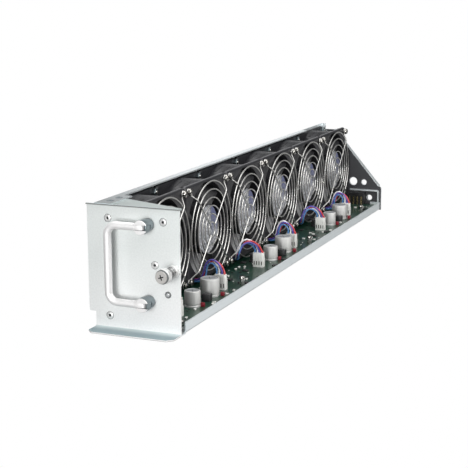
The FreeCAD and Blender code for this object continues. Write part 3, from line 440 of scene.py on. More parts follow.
def block(bm, low, high, index=0, bevel=0.0):
    """Box between two corners, in millimetres, with bevelled edges."""
    size = Vector(high) - Vector(low)
    middle = (Vector(high) + Vector(low)) * 0.5
    made = bmesh.ops.create_cube(bm, size=1.0)
    verts = made["verts"]
    bmesh.ops.scale(bm, vec=size * MM, verts=verts)
    bmesh.ops.translate(bm, vec=middle * MM, verts=verts)
    faces = {f for v in verts for f in v.link_faces}
    for face in faces:
        face.material_index = index
    if bevel:
        edges = {e for v in verts for e in v.link_edges}
        bmesh.ops.bevel(bm, geom=list(edges), offset=bevel * MM, segments=2, profile=0.6, affect="EDGES",
                        material=index)


def spin_copies(bm, make, count):
    """Calls make, then copies what it added around the X axis."""
    before = set(bm.verts)
    make()
    fresh = [v for v in bm.verts if v not in before]
    faces = {f for v in fresh for f in v.link_faces}
    geom = fresh + list({e for v in fresh for e in v.link_edges}) + list(faces)
    for i in range(1, count):
        copy = bmesh.ops.duplicate(bm, geom=geom)
        verts = [g for g in copy["geom"] if isinstance(g, bmesh.types.BMVert)]
        turn = Matrix.Rotation(2 * math.pi * i / count, 3, "X")
        bmesh.ops.rotate(bm, cent=(0, 0, 0), matrix=turn, verts=verts)


# Fan frame, on its own axis: X from the wall to the guarded face


def square_point(angle, half, corner):
    """Point at an angle on a square with rounded corners."""
    c = math.cos(angle)
    s = math.sin(angle)
    inner = half - corner
    reach = half / max(abs(c), abs(s))
    y = c * reach
    z = s * reach
    if abs(y) > inner and abs(z) > inner:
        cy = math.copysign(inner, c)
        cz = math.copysign(inner, s)
        b = c * cy + s * cz
        distance = b + math.sqrt(max(b * b - (cy * cy + cz * cz - corner * corner), 0.0))
        y = c * distance
        z = s * distance
    return y, z


def frame_angles(count=144):
    angles = [2 * math.pi * i / count for i in range(count)]
    for k in range(4):
        for d in (-0.10, -0.07, -0.04, 0.04, 0.07, 0.10):
            angles.append((math.pi / 4 + k * math.pi / 2 + d) % (2 * math.pi))
    return sorted(angles)


NOTCH_Y = PLUG_FROM_CELL - FAN_PITCH / 2
NOTCH_HALF = 4.2
NOTCH_TOP = -FAN_HALF + 7.0
# Bands of the flange's rounded rim that carry painted light
RIM_BANDS = (1, 2, 3)


def add_flange(bm, x0, x1, angles, notch, rim):
    """Square plate with rounded corners, a round duct and, on the guarded side, a notch for the leads.

    Each step is a place along X and how far the outline is drawn in there. The rim bands take the material
    given by rim, as painted light: a painted highlight on the guarded flange, painted shade on the wall's
    flange.
    """
    steps = [(x0, 0.5), (x0 + 0.5, 0.0), (x1 - 2.0, 0.0), (x1 - 1.3, 0.13)]
    steps += [(x1 - 0.6, 0.6), (x1 - 0.15, 1.25), (x1, 2.0)]
    loops = []
    for x, inset in steps:
        ring = []
        for a in angles:
            y, z = square_point(a, FAN_HALF - inset, 4.0)
            if notch and abs(y - NOTCH_Y) < NOTCH_HALF and z < 0:
                z = NOTCH_TOP
            ring.append(bm.verts.new(mm(x, y, z)))
        loops.append(ring)
    inner = []
    for x in (x1, x0):
        inner.append([bm.verts.new(mm(x, DUCT * math.cos(a), DUCT * math.sin(a))) for a in angles])
    chain = [inner[1]] + loops + [inner[0], inner[1]]
    for i, (a, b) in enumerate(zip(chain, chain[1:])):
        bridge(bm, a, b, rim if i in RIM_BANDS else 0)


def make_frame_mesh():
    bm = bmesh.new()
    angles = frame_angles()
    # The wall's flange gets painted shade on its rim, the guarded flange a painted highlight
    add_flange(bm, 0.0, FLANGE, angles, False, 1)
    add_flange(bm, FAN_DEPTH - FLANGE, FAN_DEPTH, angles, True, 2)
    shell = []
    low, high = FLANGE - 0.2, FAN_DEPTH - FLANGE + 0.2
    barrel = [(BARREL, low), (BARREL - 0.3, FAN_DEPTH / 2), (BARREL, high), (DUCT, high), (DUCT, low)]
    for radius, x in barrel:
        shell.append([bm.verts.new(mm(x, radius * math.cos(a), radius * math.sin(a))) for a in angles])
    for a, b in zip(shell, shell[1:] + shell[:1]):
        bridge(bm, a, b)
    seat = [(20.4, 0), (21.0, 0.6), (21.0, 2.5), (4.9, 2.5), (4.5, 2.9), (4.5, 15.5)]
    lathe(bm, mm(0.8, 0, 0), X_AXIS, seat, 64)

    def strut():
        block(bm, (0.8, 20.0, -2.0), (4.3, 44.8, 2.0), 0, 0.5)

    spin_copies(bm, strut, 4)

    def boss():
        corner = HOLE * math.sqrt(2)
        start = Vector((FAN_DEPTH - 9.0, 0, corner)) * MM
        lathe(bm, start, X_AXIS, [(2.6, 0), (3.2, 0.6), (3.4, 5.2)], 20)
        block(bm, (FLANGE, -0.8, BARREL - 0.6), (FAN_DEPTH - FLANGE, 0.8, BARREL + 5.0), 0, 0.2)

    # Thin plates of painted shade on the barrel, standing for shallow slanted pockets
    def pocket():
        for low, high in ((6.4, 9.8), (15.0, 18.6)):
            for side in (-1, 1):
                rows = []
                for x in (low, high):
                    for radius in (BARREL - 0.5, BARREL + 0.05):
                        row = []
                        for i in range(7):
                            a = side * math.radians(11.0 + 15.0 * i / 6)
                            lean = x + 1.6 * (1 - i / 6)
                            row.append(bm.verts.new(mm(lean, radius * math.sin(a), radius * math.cos(a))))
                        rows.append(row)
                loop = [rows[0], rows[1], rows[3], rows[2]]
                for a, b in zip(loop, loop[1:] + loop[:1]):
                    for i in range(6):
                        face = bm.faces.new((a[i], a[i + 1], b[i + 1], b[i]))
                        face.material_index = 1
                for i in (0, 6):
                    face = bm.faces.new([row[i] for row in loop])
                    face.material_index = 1

    spin_copies(bm, pocket, 4)
    before = set(bm.verts)
    spin_copies(bm, boss, 4)
    fresh = [v for v in bm.verts if v not in before]
    bmesh.ops.rotate(bm, cent=(0, 0, 0), matrix=Matrix.Rotation(math.pi / 4, 3, "X"), verts=fresh)
    return finish_mesh("fan_frame_shape", bm, ("frame", "painted_shade", "frame_rim_highlight"), 32)


# Impeller

HUB = 23.0
HUB_FRONT = FAN_DEPTH + 0.8
HUB_LENGTH = 24.0
BLADES = 7
BLADE_TIP = DUCT - 1.3
BLADE_LENGTH = 20.0


def blade_angle(share, radius):
    span = (radius - HUB) / (BLADE_TIP - HUB)
    sweep = 46.0 - 12.0 * span
    bow = 0.35 * math.sin(math.pi * share)
    return math.radians(sweep * (share + 0.12 * bow) - 9.0 * span)


def add_blade(bm):
    chord_steps = 14
    span_steps = 8
    root = HUB - 0.6
    layers = []
    for side in (-1, 1):
        grid = []
        for i in range(chord_steps + 1):
            share = i / chord_steps
            x = FAN_DEPTH - 3.0 - BLADE_LENGTH * share
            row = []
            for j in range(span_steps + 1):
                radius = root + (BLADE_TIP - root) * j / span_steps
                angle = blade_angle(share, radius)
                slope = math.radians(42.0) * radius / BLADE_LENGTH
                thick = 0.65 * math.sqrt(1 + slope ** 2) / radius
                spread = thick * (0.25 + 0.75 * math.sin(math.pi * (0.12 + 0.76 * share)))
                turn = angle + side * spread
                row.append(bm.verts.new(mm(x, radius * math.cos(turn), radius * math.sin(turn))))
            grid.append(row)
        layers.append(grid)
    low, high = layers
    for grid in layers:
        for a, b in zip(grid, grid[1:]):
            for j in range(span_steps):
                bm.faces.new((a[j], a[j + 1], b[j + 1], b[j]))
    for i in range(chord_steps):
        for j in (0, span_steps):
            bm.faces.new((low[i][j], low[i + 1][j], high[i + 1][j], high[i][j]))
    for i in (0, chord_steps):
        for j in range(span_steps):
            bm.faces.new((low[i][j], low[i][j + 1], high[i][j + 1], high[i][j]))


def make_impeller_mesh():
    bm = bmesh.new()
    face = HUB_FRONT
    back = face - HUB_LENGTH
    profile = [(HUB - 1.6, back), (HUB - 0.1, back), (HUB, back + 0.3), (HUB, face - 1.4)]
    profile += [(HUB - 0.2, face - 0.8), (HUB - 0.5, face - 0.3), (HUB - 1.0, face - 0.1), (0.0, face - 0.1)]
    lathe(bm, Vector((0, 0, 0)), X_AXIS, profile, 96)
    spin_copies(bm, lambda: add_blade(bm), BLADES)
    return finish_mesh("impeller_shape", bm, ("impeller",), 38)


def make_foil_mesh():
    bm = bmesh.new()
    face = HUB_FRONT
    profile = [(HUB - 0.7, face - 0.26), (HUB - 0.8, face + 0.05), (0, face + 0.08)]
    lathe(bm, Vector((0, 0, 0)), X_AXIS, profile, 72)
    return finish_mesh("hub_foil_shape", bm, ("foil",), 30)


# Wire guard

RING_RADII = (45.0, 37.4, 29.8, 22.2, 14.6, 7.0)
WIRE = 0.8
SHOWN_WIRE = 0.64
RING_X = FAN_DEPTH + 3.9 + WIRE
ARM_X = RING_X + 2 * WIRE - 0.15


def make_guard_mesh():
    bm = bmesh.new()
    for radius in RING_RADII:
        tube(bm, circle_points(mm(RING_X, 0, 0), Y_AXIS, Z_AXIS, radius, 96), SHOWN_WIRE, 12, True)
    corner = HOLE * math.sqrt(2)

    def arm():
        eye_x = FAN_DEPTH + WIRE
        points = [mm(ARM_X, 0, 6.6), mm(ARM_X, 0, 26.0), mm(ARM_X, 0, 44.6), mm(ARM_X - 0.2, 0, 45.6)]
        points += [mm(ARM_X - 0.65, 0, 46.6), mm(eye_x + 0.8, 0, 52.8), mm(eye_x + 0.2, 0, 53.8)]
        points += [mm(eye_x, 0, 54.6), mm(eye_x, 0, corner - 2.9)]
        tube(bm, points, SHOWN_WIRE, 12)
        eye = circle_points(mm(eye_x, 0, corner), Y_AXIS, Z_AXIS, 2.8, 28)
        tube(bm, eye, SHOWN_WIRE, 10, True)

    before = set(bm.verts)
    spin_copies(bm, arm, 4)
    fresh = [v for v in bm.verts if v not in before]
    bmesh.ops.rotate(bm, cent=(0, 0, 0), matrix=Matrix.Rotation(math.pi / 4, 3, "X"), verts=fresh)
    return finish_mesh("wire_guard_shape", bm, ("wire",), 50)


frame_mesh = make_frame_mesh()
impeller_mesh = make_impeller_mesh()
foil_mesh = make_foil_mesh()
guard_mesh = make_guard_mesh()
for k in range(FAN_COUNT):
    n = k + 1
    rotor = f"rotor_{n}"
    spot = fan_centre(k)
    place_mesh(f"fan_frame_{n}_shell", frame_mesh, "tray", (f"fan_frame_{n}",), spot)
    place_mesh(f"impeller_{n}_form", impeller_mesh, rotor, (f"impeller_{n}",), spot)
    place_mesh(f"hub_foil_{n}", foil_mesh, rotor, (), spot)
    place_mesh(f"wire_guard_{n}_wires", guard_mesh, "tray", (f"wire_guard_{n}",), spot)


# Screws


def add_pan_head(bm, base, direction, radius, height):
    """Pan head with a cross of painted shade for its recess."""
    shares = ((1.0, 0.0), (1.0, 0.35), (0.93, 0.68), (0.72, 0.92), (0.45, 1.0), (0.0, 1.0))
    lathe(bm, base, direction, [(radius * wide, height * high) for wide, high in shares], 28)
    first, second = across(direction)
    top = base + direction * (height * MM)
    for arm in (first, second):
        other = direction.cross(arm)
        corners = []
        for sx, sy in ((-1, -1), (1, -1), (1, 1), (-1, 1)):
            corners.append(top + arm * (sx * radius * 0.5 * MM) + other * (sy * radius * 0.11 * MM))
        low = [bm.verts.new(c - direction * (0.3 * MM)) for c in corners]
        high = [bm.verts.new(c + direction * (0.03 * MM)) for c in corners]
        bridge(bm, low, high, 1)
        cap(bm, low, 1)
        cap(bm, high, 1)


def fan_screws():
    bm = bmesh.new()
    for k in range(FAN_COUNT):
        centre = fan_centre(k)
        for sy in (-1, 1):
            for sz in (-1, 1):
                spot = centre + mm(FAN_DEPTH + 2 * WIRE, sy * HOLE, sz * HOLE)
                add_pan_head(bm, spot, X_AXIS, 3.3, 2.6)
                lathe(bm, spot, -X_AXIS, [(1.8, 0), (1.8, 7.5)], 12)
    add_piece("guard_screw_heads", bm, ["screw", "painted_shade"], "tray", ("guard_screws",))


def wall_fixings():
    bm = bmesh.new()
    nuts = bmesh.new()
    for k in range(FAN_COUNT):
        centre = fan_centre(k)
        for s in (-1, 1):
            spot = centre + mm(-SHEET, s * HOLE, s * HOLE)
            add_pan_head(bm, spot, -X_AXIS, 3.4, 1.8)
            lathe(bm, spot, X_AXIS, [(1.9, 0), (1.9, 8.4), (1.5, 9.0)], 16)
            seat = centre + mm(FLANGE, s * HOLE, s * HOLE)
            lathe(nuts, seat, X_AXIS, [(3.4, 0), (3.95, 0.3), (3.95, 2.7), (3.4, 3.0)], 6)
    add_piece("wall_screw_heads", bm, ["screw", "painted_shade"], "tray", ("wall_screws",))
    # The nuts take painted shade, a dark copy of metal
    add_piece("wall_nut_bodies", nuts, ["shaded_metal"], "tray", ("wall_nuts",), 20)


fan_screws()
wall_fixings()


# Leads: four wires to each fan, on the CAD's route, spreading out into the plug


def smooth_path(points, steps=8):
    """Catmull-Rom line through points."""
    line = []
    padded = [points[0] * 2 - points[1]] + points + [points[-1] * 2 - points[-2]]
    for a, b, c, d in zip(padded, padded[1:], padded[2:], padded[3:]):
        for i in range(steps):
            t = i / steps
            square = (a * 2 - b * 5 + c * 4 - d) * t * t
            cube = (b * 3 - a - c * 3 + d) * t ** 3
            line.append(0.5 * ((b * 2) + (c - a) * t + square + cube))
    line.append(points[-1])
    return line


WIRE_KEYS = ("light_blue", "white", "violet", "red")
# How far each wire's loop stands out, in the order of the keys, for each fan
WIRE_LIFTS = (
    (-0.8, 2.2, 0.2, 1.2),
    (-1.0, 0.0, 2.2, 1.1),
    (-1.0, 2.3, -0.2, 1.1),
    (-1.1, 2.3, 1.2, 0.1),
    (-1.0, 0.0, 2.2, 1.1),
    (-1.1, 2.3, 1.2, 0.1),
)
# How far each fan's loops lean along the tray; below zero is towards its front
LOOP_LEAN = (0.0, 0.0, -8.0, 0.0, -8.0, 0.0)
LEAD_LOW = FAN_AXIS - 42.5
FAN_FACE = -5.3
RISE_X = FAN_FACE + 9.0
HEADER_TOP = BOARD_TOP + 1.4
PLUG_TOP = HEADER_TOP + 12.8
WAY_PITCH = 2.54


def lead_points(k, way):
    """One wire's route: along the bunch from the fan, up beside the guard, over the loop, into the plug."""
    rng = random.Random(100 + 10 * k + way)
    y = FAN_FIRST + FAN_PITCH * k + PLUG_FROM_CELL
    dy = (-0.75, 0.75, -0.75, 0.75)[way]
    dz = (-0.75, -0.75, 0.75, 0.75)[way]
    plug_x = PLUG_X + (way - 1.5) * WAY_PITCH
    lift = WIRE_LIFTS[k][way]
    lean = rng.uniform(-0.5, 0.5)
    out = LOOP_LEAN[k]
    left = RISE_X + 0.6 - lift * 0.9 + out * 0.35
    half = (plug_x - left) / 2
    mid = left + half
    crown = PLUG_TOP + 10.4 + lift - half
    points = [
        mm(WALL_IN + FLANGE + 1.0, y + dy, LEAD_LOW + dz),
        mm(-14.0, y + dy, LEAD_LOW + dz),
        mm(-6.0, y + dy, LEAD_LOW + dz),
        mm(left - 3.0, y + dy + out * 0.5, LEAD_LOW + 1.6 + dz),
        mm(left - 0.4, y + dy + lean + out, PLUG_TOP - 2.0),
        mm(left + half * 0.10, y + dy + lean + out, crown - half * 0.1),
        mm(left + half * 0.42, y + dy + lean + out * 0.8, crown + half * 0.68),
        mm(mid, y + dy + lean + out * 0.5, crown + half),
        mm(mid + half * 0.66, y + dy * 0.5 + out * 0.2, crown + half * 0.66),
        mm(plug_x, y + dy * 0.3, crown),
        mm(plug_x, y, PLUG_TOP + 1.5),
        mm(plug_x, y, PLUG_TOP - 1.0),
    ]
    return points


for k in range(FAN_COUNT):
    bm = bmesh.new()
    for way, key in enumerate(WIRE_KEYS):
        tube(bm, smooth_path(lead_points(k, way)), 0.82, 10, False, way)
    nodes = ("fan_leads",) if k == 0 else ()
    add_piece(f"fan_wires_{k + 1}", bm, list(WIRE_KEYS), "tray", nodes, 60)


# Plugs and headers


def plug_set():
    bm = bmesh.new()
    base = bmesh.new()
    half_x = WAY_PITCH * 2 + 0.1
    for k in range(FAN_COUNT):
        y = FAN_FIRST + FAN_PITCH * k + PLUG_FROM_CELL
        z0 = HEADER_TOP
        block(bm, (PLUG_X - half_x, y - 2.5, z0), (PLUG_X + half_x, y + 2.5, PLUG_TOP), 0, 0.35)
        for i in range(4):
            x = PLUG_X + (i - 1.5) * WAY_PITCH
            # Slots and contact openings are blocks and discs of painted shade
            block(bm, (x - 0.45, y - 2.55, z0 + 1.0), (x + 0.45, y - 1.8, z0 + 4.6), 1)
            lathe(bm, mm(x, y, PLUG_TOP - 1.2), Z_AXIS, [(0.98, 0.0), (0.98, 1.24)], 16, 1)
            block(bm, (x - 0.35, y - 2.75, z0 + 5.8), (x + 0.35, y - 2.3, PLUG_TOP - 1.6), 0, 0.1)
        block(base, (PLUG_X - half_x, y - 2.5, BOARD_TOP), (PLUG_X + half_x, y + 3.5, z0), 0, 0.25)
        block(base, (PLUG_X - half_x, y + 2.5, z0), (PLUG_X + half_x, y + 3.5, z0 + 7.3), 0, 0.25)
    add_piece("plug_housings", bm, ["nylon", "painted_shade"], "tray", ("fan_plugs",))
    add_piece("header_bodies", base, ["nylon"], "tray", ("fan_headers",))


plug_set()


# Capacitors and other parts on the board


# Places on the board: in from the open side, and along from the first fan. Each repeats at every second fan
SMALL_CAN_AT = (19.5, 53.5)
LARGE_CAN_AT = (20.3, 92.0)
SPOOL_AT = (31.0, 38.0)
RELAY_AT = (15.0, 74.0)
FILM_CAPS_AT = ((10.7, 55.5), (9.0, 94.5))


def pair_spots(inwards, along):
    return [(RAIL_OUT - inwards, FAN_FIRST + along + i * PAIR_PITCH) for i in range(3)]


def add_can(bm, x, y, r, h):
    """Can with a groove near its foot, a rolled rim and a cross scored in its sunk top, the score drawn in
    painted shade.
    """
    profile = [(r, 0.0), (r, 1.2), (r - 0.45, 1.7), (r - 0.45, 2.2), (r, 2.8), (r, h - 0.9)]
    profile += [(r - 0.3, h - 0.3), (r - 1.0, h), (r - 1.4, h - 0.1), (r - 1.7, h - 0.35), (0.0, h - 0.35)]
    rings = lathe(bm, mm(x, y, BOARD_TOP), Z_AXIS, profile, 64)
    for vert in rings[-2] + rings[-3]:
        for face in vert.link_faces:
            if all(v.co.z > (BOARD_TOP + h - 0.36) * MM - 1e-6 for v in face.verts):
                face.material_index = 2
    for turn in (0.5, 0.5 + math.pi / 2):
        reach = r * 0.62
        c, s = math.cos(turn) * reach, math.sin(turn) * reach
        z = BOARD_TOP + h - 0.33
        tube(bm, [mm(x - c, y - s, z), mm(x, y, z), mm(x + c, y + s, z)], 0.16, 6, False, 1)


def capacitor_set(name, at, radius, height, node):
    bm = bmesh.new()
    for x, y in pair_spots(*at):
        add_can(bm, x, y, radius, height)
    add_piece(name, bm, ["can", "painted_shade", "can_top"], "tray", (node,))


capacitor_set("small_capacitor_cans", SMALL_CAN_AT, 7.0, 14.2, "small_capacitors")
capacitor_set("large_capacitor_cans", LARGE_CAN_AT, 8.5, 16.0, "large_capacitors")


def board_parts():
    bm = bmesh.new()
    spool = [(4.4, 0), (5.0, 0.4), (5.0, 1.6), (4.1, 2.0), (4.1, 6.6), (5.0, 7.0), (5.0, 8.1), (4.6, 8.5)]
    for x, y in pair_spots(*SPOOL_AT):
        lathe(bm, mm(x, y, BOARD_TOP), Z_AXIS, spool, 40)
    for x, y in pair_spots(*RELAY_AT):
        block(bm, (x - 3.75, y - 3.25, BOARD_TOP), (x + 3.75, y + 3.25, BOARD_TOP + 6.5), 0, 0.35)
    for at in FILM_CAPS_AT:
        for x, y in pair_spots(*at):
            block(bm, (x - 1.6, y - 1.2, BOARD_TOP), (x + 1.6, y + 1.2, BOARD_TOP + 3.4), 1, 0.3)
    add_piece("board_part_bodies", bm, ["component", "crimson"], "tray", ("board_parts",))


board_parts()


CHIP_COUNT = 170


def small_chips():
    """Surface-mounted chips, resistors and solder joints spread over the board."""
    rng = random.Random(7)
    bm = bmesh.new()
    taken = []
    kept = [(SMALL_CAN_AT, 10), (LARGE_CAN_AT, 12), (SPOOL_AT, 7), (RELAY_AT, 7)]
    for at, keep in kept + [(at, 4) for at in FILM_CAPS_AT]:
        taken += [(x, y, keep) for x, y in pair_spots(*at)]
    for k in range(FAN_COUNT):
        taken.append((PLUG_X, FAN_FIRST + FAN_PITCH * k + PLUG_FROM_CELL, 9.5))
    placed = 0
    while placed < CHIP_COUNT:
        x = rng.uniform(-2.0, 33.5)
        y = rng.uniform(FRONT + 12, REAR - 22)
        if any(math.hypot(x - tx, y - ty) < keep for tx, ty, keep in taken):
            continue
        taken.append((x, y, 3.0))
        along = rng.random() < 0.5
        kind = rng.random()
        if kind < 0.55:
            lx, ly, h = 1.6, 0.8, 0.6
        elif kind < 0.85:
            lx, ly, h = 3.2, 1.6, 1.1
        else:
            lx, ly, h = 5.0, 4.0, 1.5
        if along:
            lx, ly = ly, lx
        index = 0 if kind < 0.30 or kind > 0.85 else 2
        block(bm, (x - lx / 2, y - ly / 2, BOARD_TOP), (x + lx / 2, y + ly / 2, BOARD_TOP + h), index, 0.1)
        ex, ey = (0.0, ly / 2) if along else (lx / 2, 0.0)
        for side in (-1, 1):
            cx, cy = x + side * ex, y + side * ey
            block(bm, (cx - 0.45, cy - 0.45, BOARD_TOP), (cx + 0.45, cy + 0.45, BOARD_TOP + h * 0.8), 1, 0.08)
        placed += 1
    add_piece("board_chips", bm, ["component", "screw", "nylon"], "tray")


small_chips()


POST_HEIGHT = 6.8


def board_fixings():
    bm = bmesh.new()
    for x in (WALL_IN + 3.0 + 3.6, RAIL_IN - 2.1 - 3.6):
        for along in (4.5, 135.0, 322.0, 509.0):
            y = FAN_FIRST + along
            raised = x > 0 and along > 10
            z = BOARD_TOP + (POST_HEIGHT if raised else 0.0)
            add_pan_head(bm, mm(x, y, z), Z_AXIS, 2.8, 2.0)
            lathe(bm, mm(x, y, BOARD_TOP - 4.4), Z_AXIS, [(1.4, 0), (1.4, 4.5)], 12)
    add_piece("board_screw_heads", bm, ["screw", "painted_shade"], "tray", ("board_screws",))


board_fixings()


# Front panel fittings

PIVOT_X = RAIL_OUT - 27.5
AXIS_Y = FRONT - 12.0
HANDLE_MID = 58.2
HANDLE_HALF = 31.6
HANDLE_LOW = HANDLE_MID - HANDLE_HALF
HANDLE_HIGH = HANDLE_MID + HANDLE_HALF
GRIP_X = PIVOT_X - 30.7
ROD = 3.2
ROD_BEND = 8.0
FORK = 5.9
STEM = 5.2
SLOT_HALF = 2.2


def handle():
    bm = bmesh.new()
    start = PIVOT_X - 5.2
    bend_x = GRIP_X + ROD_BEND
    quarter = math.pi / 2
    points = [mm(x, AXIS_Y, HANDLE_HIGH) for x in (start, start - 1.0, bend_x + 0.5)]
    for z, turn in ((HANDLE_HIGH - ROD_BEND, quarter), (HANDLE_LOW + ROD_BEND, math.pi)):
        points += circle_points(mm(bend_x, AXIS_Y, z), X_AXIS, Z_AXIS, ROD_BEND, 15, turn, quarter, False)
    points += [mm(x, AXIS_Y, HANDLE_LOW) for x in (bend_x + 0.5, start - 1.0, start)]
    tube(bm, points, ROD, 32)
    for z in (HANDLE_LOW, HANDLE_HIGH):
        lathe(bm, mm(PIVOT_X, AXIS_Y, z - 2.0), Z_AXIS, [(2.7, 0), (3.0, 0.3), (3.0, 3.7), (2.7, 4.0)], 32)
        block(bm, (start - 1.6, AXIS_Y - 3.0, z - 2.0), (PIVOT_X, AXIS_Y + 3.0, z + 2.0), 0, 0.3)
    add_piece("handle_bow", bm, ["bright_rod"], "bow_handle", ("handle",))


def ferrules():
    """Posts with a fork at the front; the fork's ears are built as two half-round cheeks. The posts' sides
    carry painted shade, darker than their bright fronts.
    """
    bm = bmesh.new()
    for z in (HANDLE_LOW, HANDLE_HIGH):
        base = mm(PIVOT_X, FRONT, z)
        lathe(bm, base, -Y_AXIS, [(STEM - 0.3, 0), (STEM, 0.3), (STEM, 6.6), (FORK, 7.0), (FORK, 7.5)], 56, 1)
        lathe(bm, base, Y_AXIS, [(2.5, -0.1), (2.5, 2.3)], 24)
        for side in (-1, 1):
            half = math.asin(SLOT_HALF / FORK)
            outline = []
            for i in range(25):
                a = half + (math.pi - 2 * half) * i / 24
                outline.append((FORK * math.cos(a), side * FORK * math.sin(a)))
            rings = []
            for inset, out in ((0.0, 7.4), (0.0, 14.7), (0.12, 15.2), (0.45, 15.5)):
                scale = (FORK - inset) / FORK
                ring = []
                for px, pz in outline:
                    dz = max(abs(pz) * scale, SLOT_HALF) * side
                    ring.append(bm.verts.new(base + mm(px * scale, -out, dz)))
                rings.append(ring)
            bridge(bm, rings[0], rings[1], 1)
            for a, b in zip(rings[1:], rings[2:]):
                bridge(bm, a, b)
            cap(bm, rings[0], 1)
            cap(bm, rings[-1])
        block(bm, (PIVOT_X + 3.8, FRONT - 15.3, z - 2.3), (PIVOT_X + 5.3, FRONT - 7.4, z + 2.3), 1, 0.2)
    add_piece("handle_posts", bm, ["bright_rod", "shaded_metal"], "tray", ("handle_ferrules",))


handle()
ferrules()

CAPTIVE_X = RAIL_OUT - 5.5
CAPTIVE_Z = 53.7
COIL = 4.1
COIL_TURNS = 2.75
KNOB = 6.2
KNURLS = 40


def captive_parts():
    base = mm(CAPTIVE_X, FRONT, CAPTIVE_Z)
    bm = bmesh.new()
    bush = [(4.7, 0), (5.0, 0.3), (5.0, 3.6), (4.6, 4.2), (4.6, 5.0), (2.4, 5.0), (2.2, 4.0)]
    lathe(bm, base, -Y_AXIS, bush, 48)
    add_piece("captive_bush_body", bm, ["satin"], "tray", ("captive_bush",))
    bm = bmesh.new()
    points = []
    count = int(COIL_TURNS * 28)
    for i in range(count + 1):
        share = i / count
        along = 5.6 + 9.8 * share
        a = 2 * math.pi * COIL_TURNS * share
        points.append(base + mm(COIL * math.cos(a), -along, COIL * math.sin(a)))
    tube(bm, points, 0.55, 12)
    nodes = ("captive_spring",)
    coil = add_piece("captive_spring_coil", bm, ["spring"], "screw_slider", nodes, 60)
    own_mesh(coil)
    bm = bmesh.new()
    profile = [(1.6, 0.0), (1.6, 15.9), (2.0, 16.0), (5.8, 16.0), (KNOB, 16.4), (KNOB, 21.1), (5.8, 21.6)]
    profile += [(5.1, 21.6), (5.1, 23.6), (4.8, 23.96), (0.0, 23.96)]
    rings = lathe(bm, base, -Y_AXIS, profile, 56)
    for ring in rings[-2:]:
        for vert in ring:
            for face in vert.link_faces:
                if all(v.co.y < (FRONT - 21.7) * MM for v in face.verts):
                    face.material_index = 2
    # A ring of painted shade round the head's face and side
    for vert in rings[-4]:
        for face in vert.link_faces:
            face.material_index = 3
    for i in range(KNURLS):
        a = 2 * math.pi * i / KNURLS
        spot = base + mm((KNOB - 0.1) * math.cos(a), -16.9, (KNOB - 0.1) * math.sin(a))
        tube(bm, [spot, spot + mm(0, -3.8, 0)], 0.16, 5)
    lathe(bm, base, Y_AXIS, [(1.6, -0.5), (1.6, 1.5), (2.0, 1.6), (2.0, 4.2), (1.6, 4.5)], 32)
    # Slot bars of painted shade in the head
    for a in (0.3, 0.3 + math.pi / 2):
        c, s = math.cos(a), math.sin(a)
        corners = []
        for u, v in ((-2.3, -0.5), (2.3, -0.5), (2.3, 0.5), (-2.3, 0.5)):
            corners.append((u * c - v * s, u * s + v * c))
        low = [bm.verts.new(base + mm(x, -23.2, z)) for x, z in corners]
        high = [bm.verts.new(base + mm(x, -23.98, z)) for x, z in corners]
        bridge(bm, low, high, 1)
        cap(bm, low, 1)
        cap(bm, high, 1)
    looks = ["satin", "painted_shade", "head_grey", "shaded_edge"]
    add_piece("captive_screw_body", bm, looks, "screw", ("captive_screw",))


captive_parts()


def rivets():
    bm = bmesh.new()
    spots = [(WALL_OUT - 6.0 + x, z) for x, z in ((19.0, 92.5), (68.5, 92.5), (19.0, 11.2), (60.7, 56.9))]
    head = [(1.1, 0.0), (1.15, 0.5), (1.5, 0.75), (2.2, 0.7), (2.8, 0.4), (3.1, 0.0)]
    places = [(mm(x, FRONT, z), -Y_AXIS) for x, z in spots]
    places += [(mm(WALL_OUT + 8.4, FRONT + y, 104.0), Z_AXIS) for y in (13.6, 28.5)]
    places += [(mm(WALL_OUT + 7.2, REAR, z), Y_AXIS) for z in (25.0, 56.0, 88.0)]
    places.append((mm(RAIL_OUT - 7.5, REAR, 4.8), Y_AXIS))
    for spot, direction in places:
        low = 0.6 if direction.z > 0.5 else 1.0
        # Rivets on the top flange take painted shade, a dark copy of the satin head
        lathe(bm, spot, direction, [(radius, out * low) for radius, out in head], 36, 3 if low < 1.0 else 0)
        # The rivet's hole is a core of painted shade
        lathe(bm, spot, direction, [(1.14, -0.2), (1.14, 0.42 * low)], 20, 1)
        # A thin outline ring of painted shade under the head
        lathe(bm, spot, direction, [(3.3, 0.0), (3.3, 0.12), (3.05, 0.14)], 36, 2)
        lathe(bm, spot, -direction, [(1.55, 0.05), (1.55, 2.4), (2.3, 2.6), (2.0, 3.6)], 16, 0)
    looks = ["satin", "painted_shade", "shaded_edge", "shaded_metal"]
    add_piece("rivet_heads", bm, looks, "tray", ("blind_rivets",))


rivets()


def status_light():
    bm = bmesh.new()
    base = mm(RAIL_OUT - 10.9, FRONT, 33.5)
    profile = [(2.7, 0.0), (2.8, 0.15), (2.7, 0.6), (2.2, 0.7), (1.6, 0.45), (0.9, 0.85), (0, 0.95)]
    rings = lathe(bm, base, -Y_AXIS, profile, 40)
    # The outer ring is painted shade, the dome is the lens
    for ring in rings[:4]:
        for vert in ring:
            for face in vert.link_faces:
                face.material_index = 1
    lathe(bm, base, Y_AXIS, [(2.2, -0.1), (2.3, 0.4), (2.3, 7.7), (2.0, 8.0)], 32)
    add_piece("status_lens", bm, ["lens", "shaded_edge"], "tray", ("status_light",))


status_light()


# Materials of the CAD nodes that stay in view

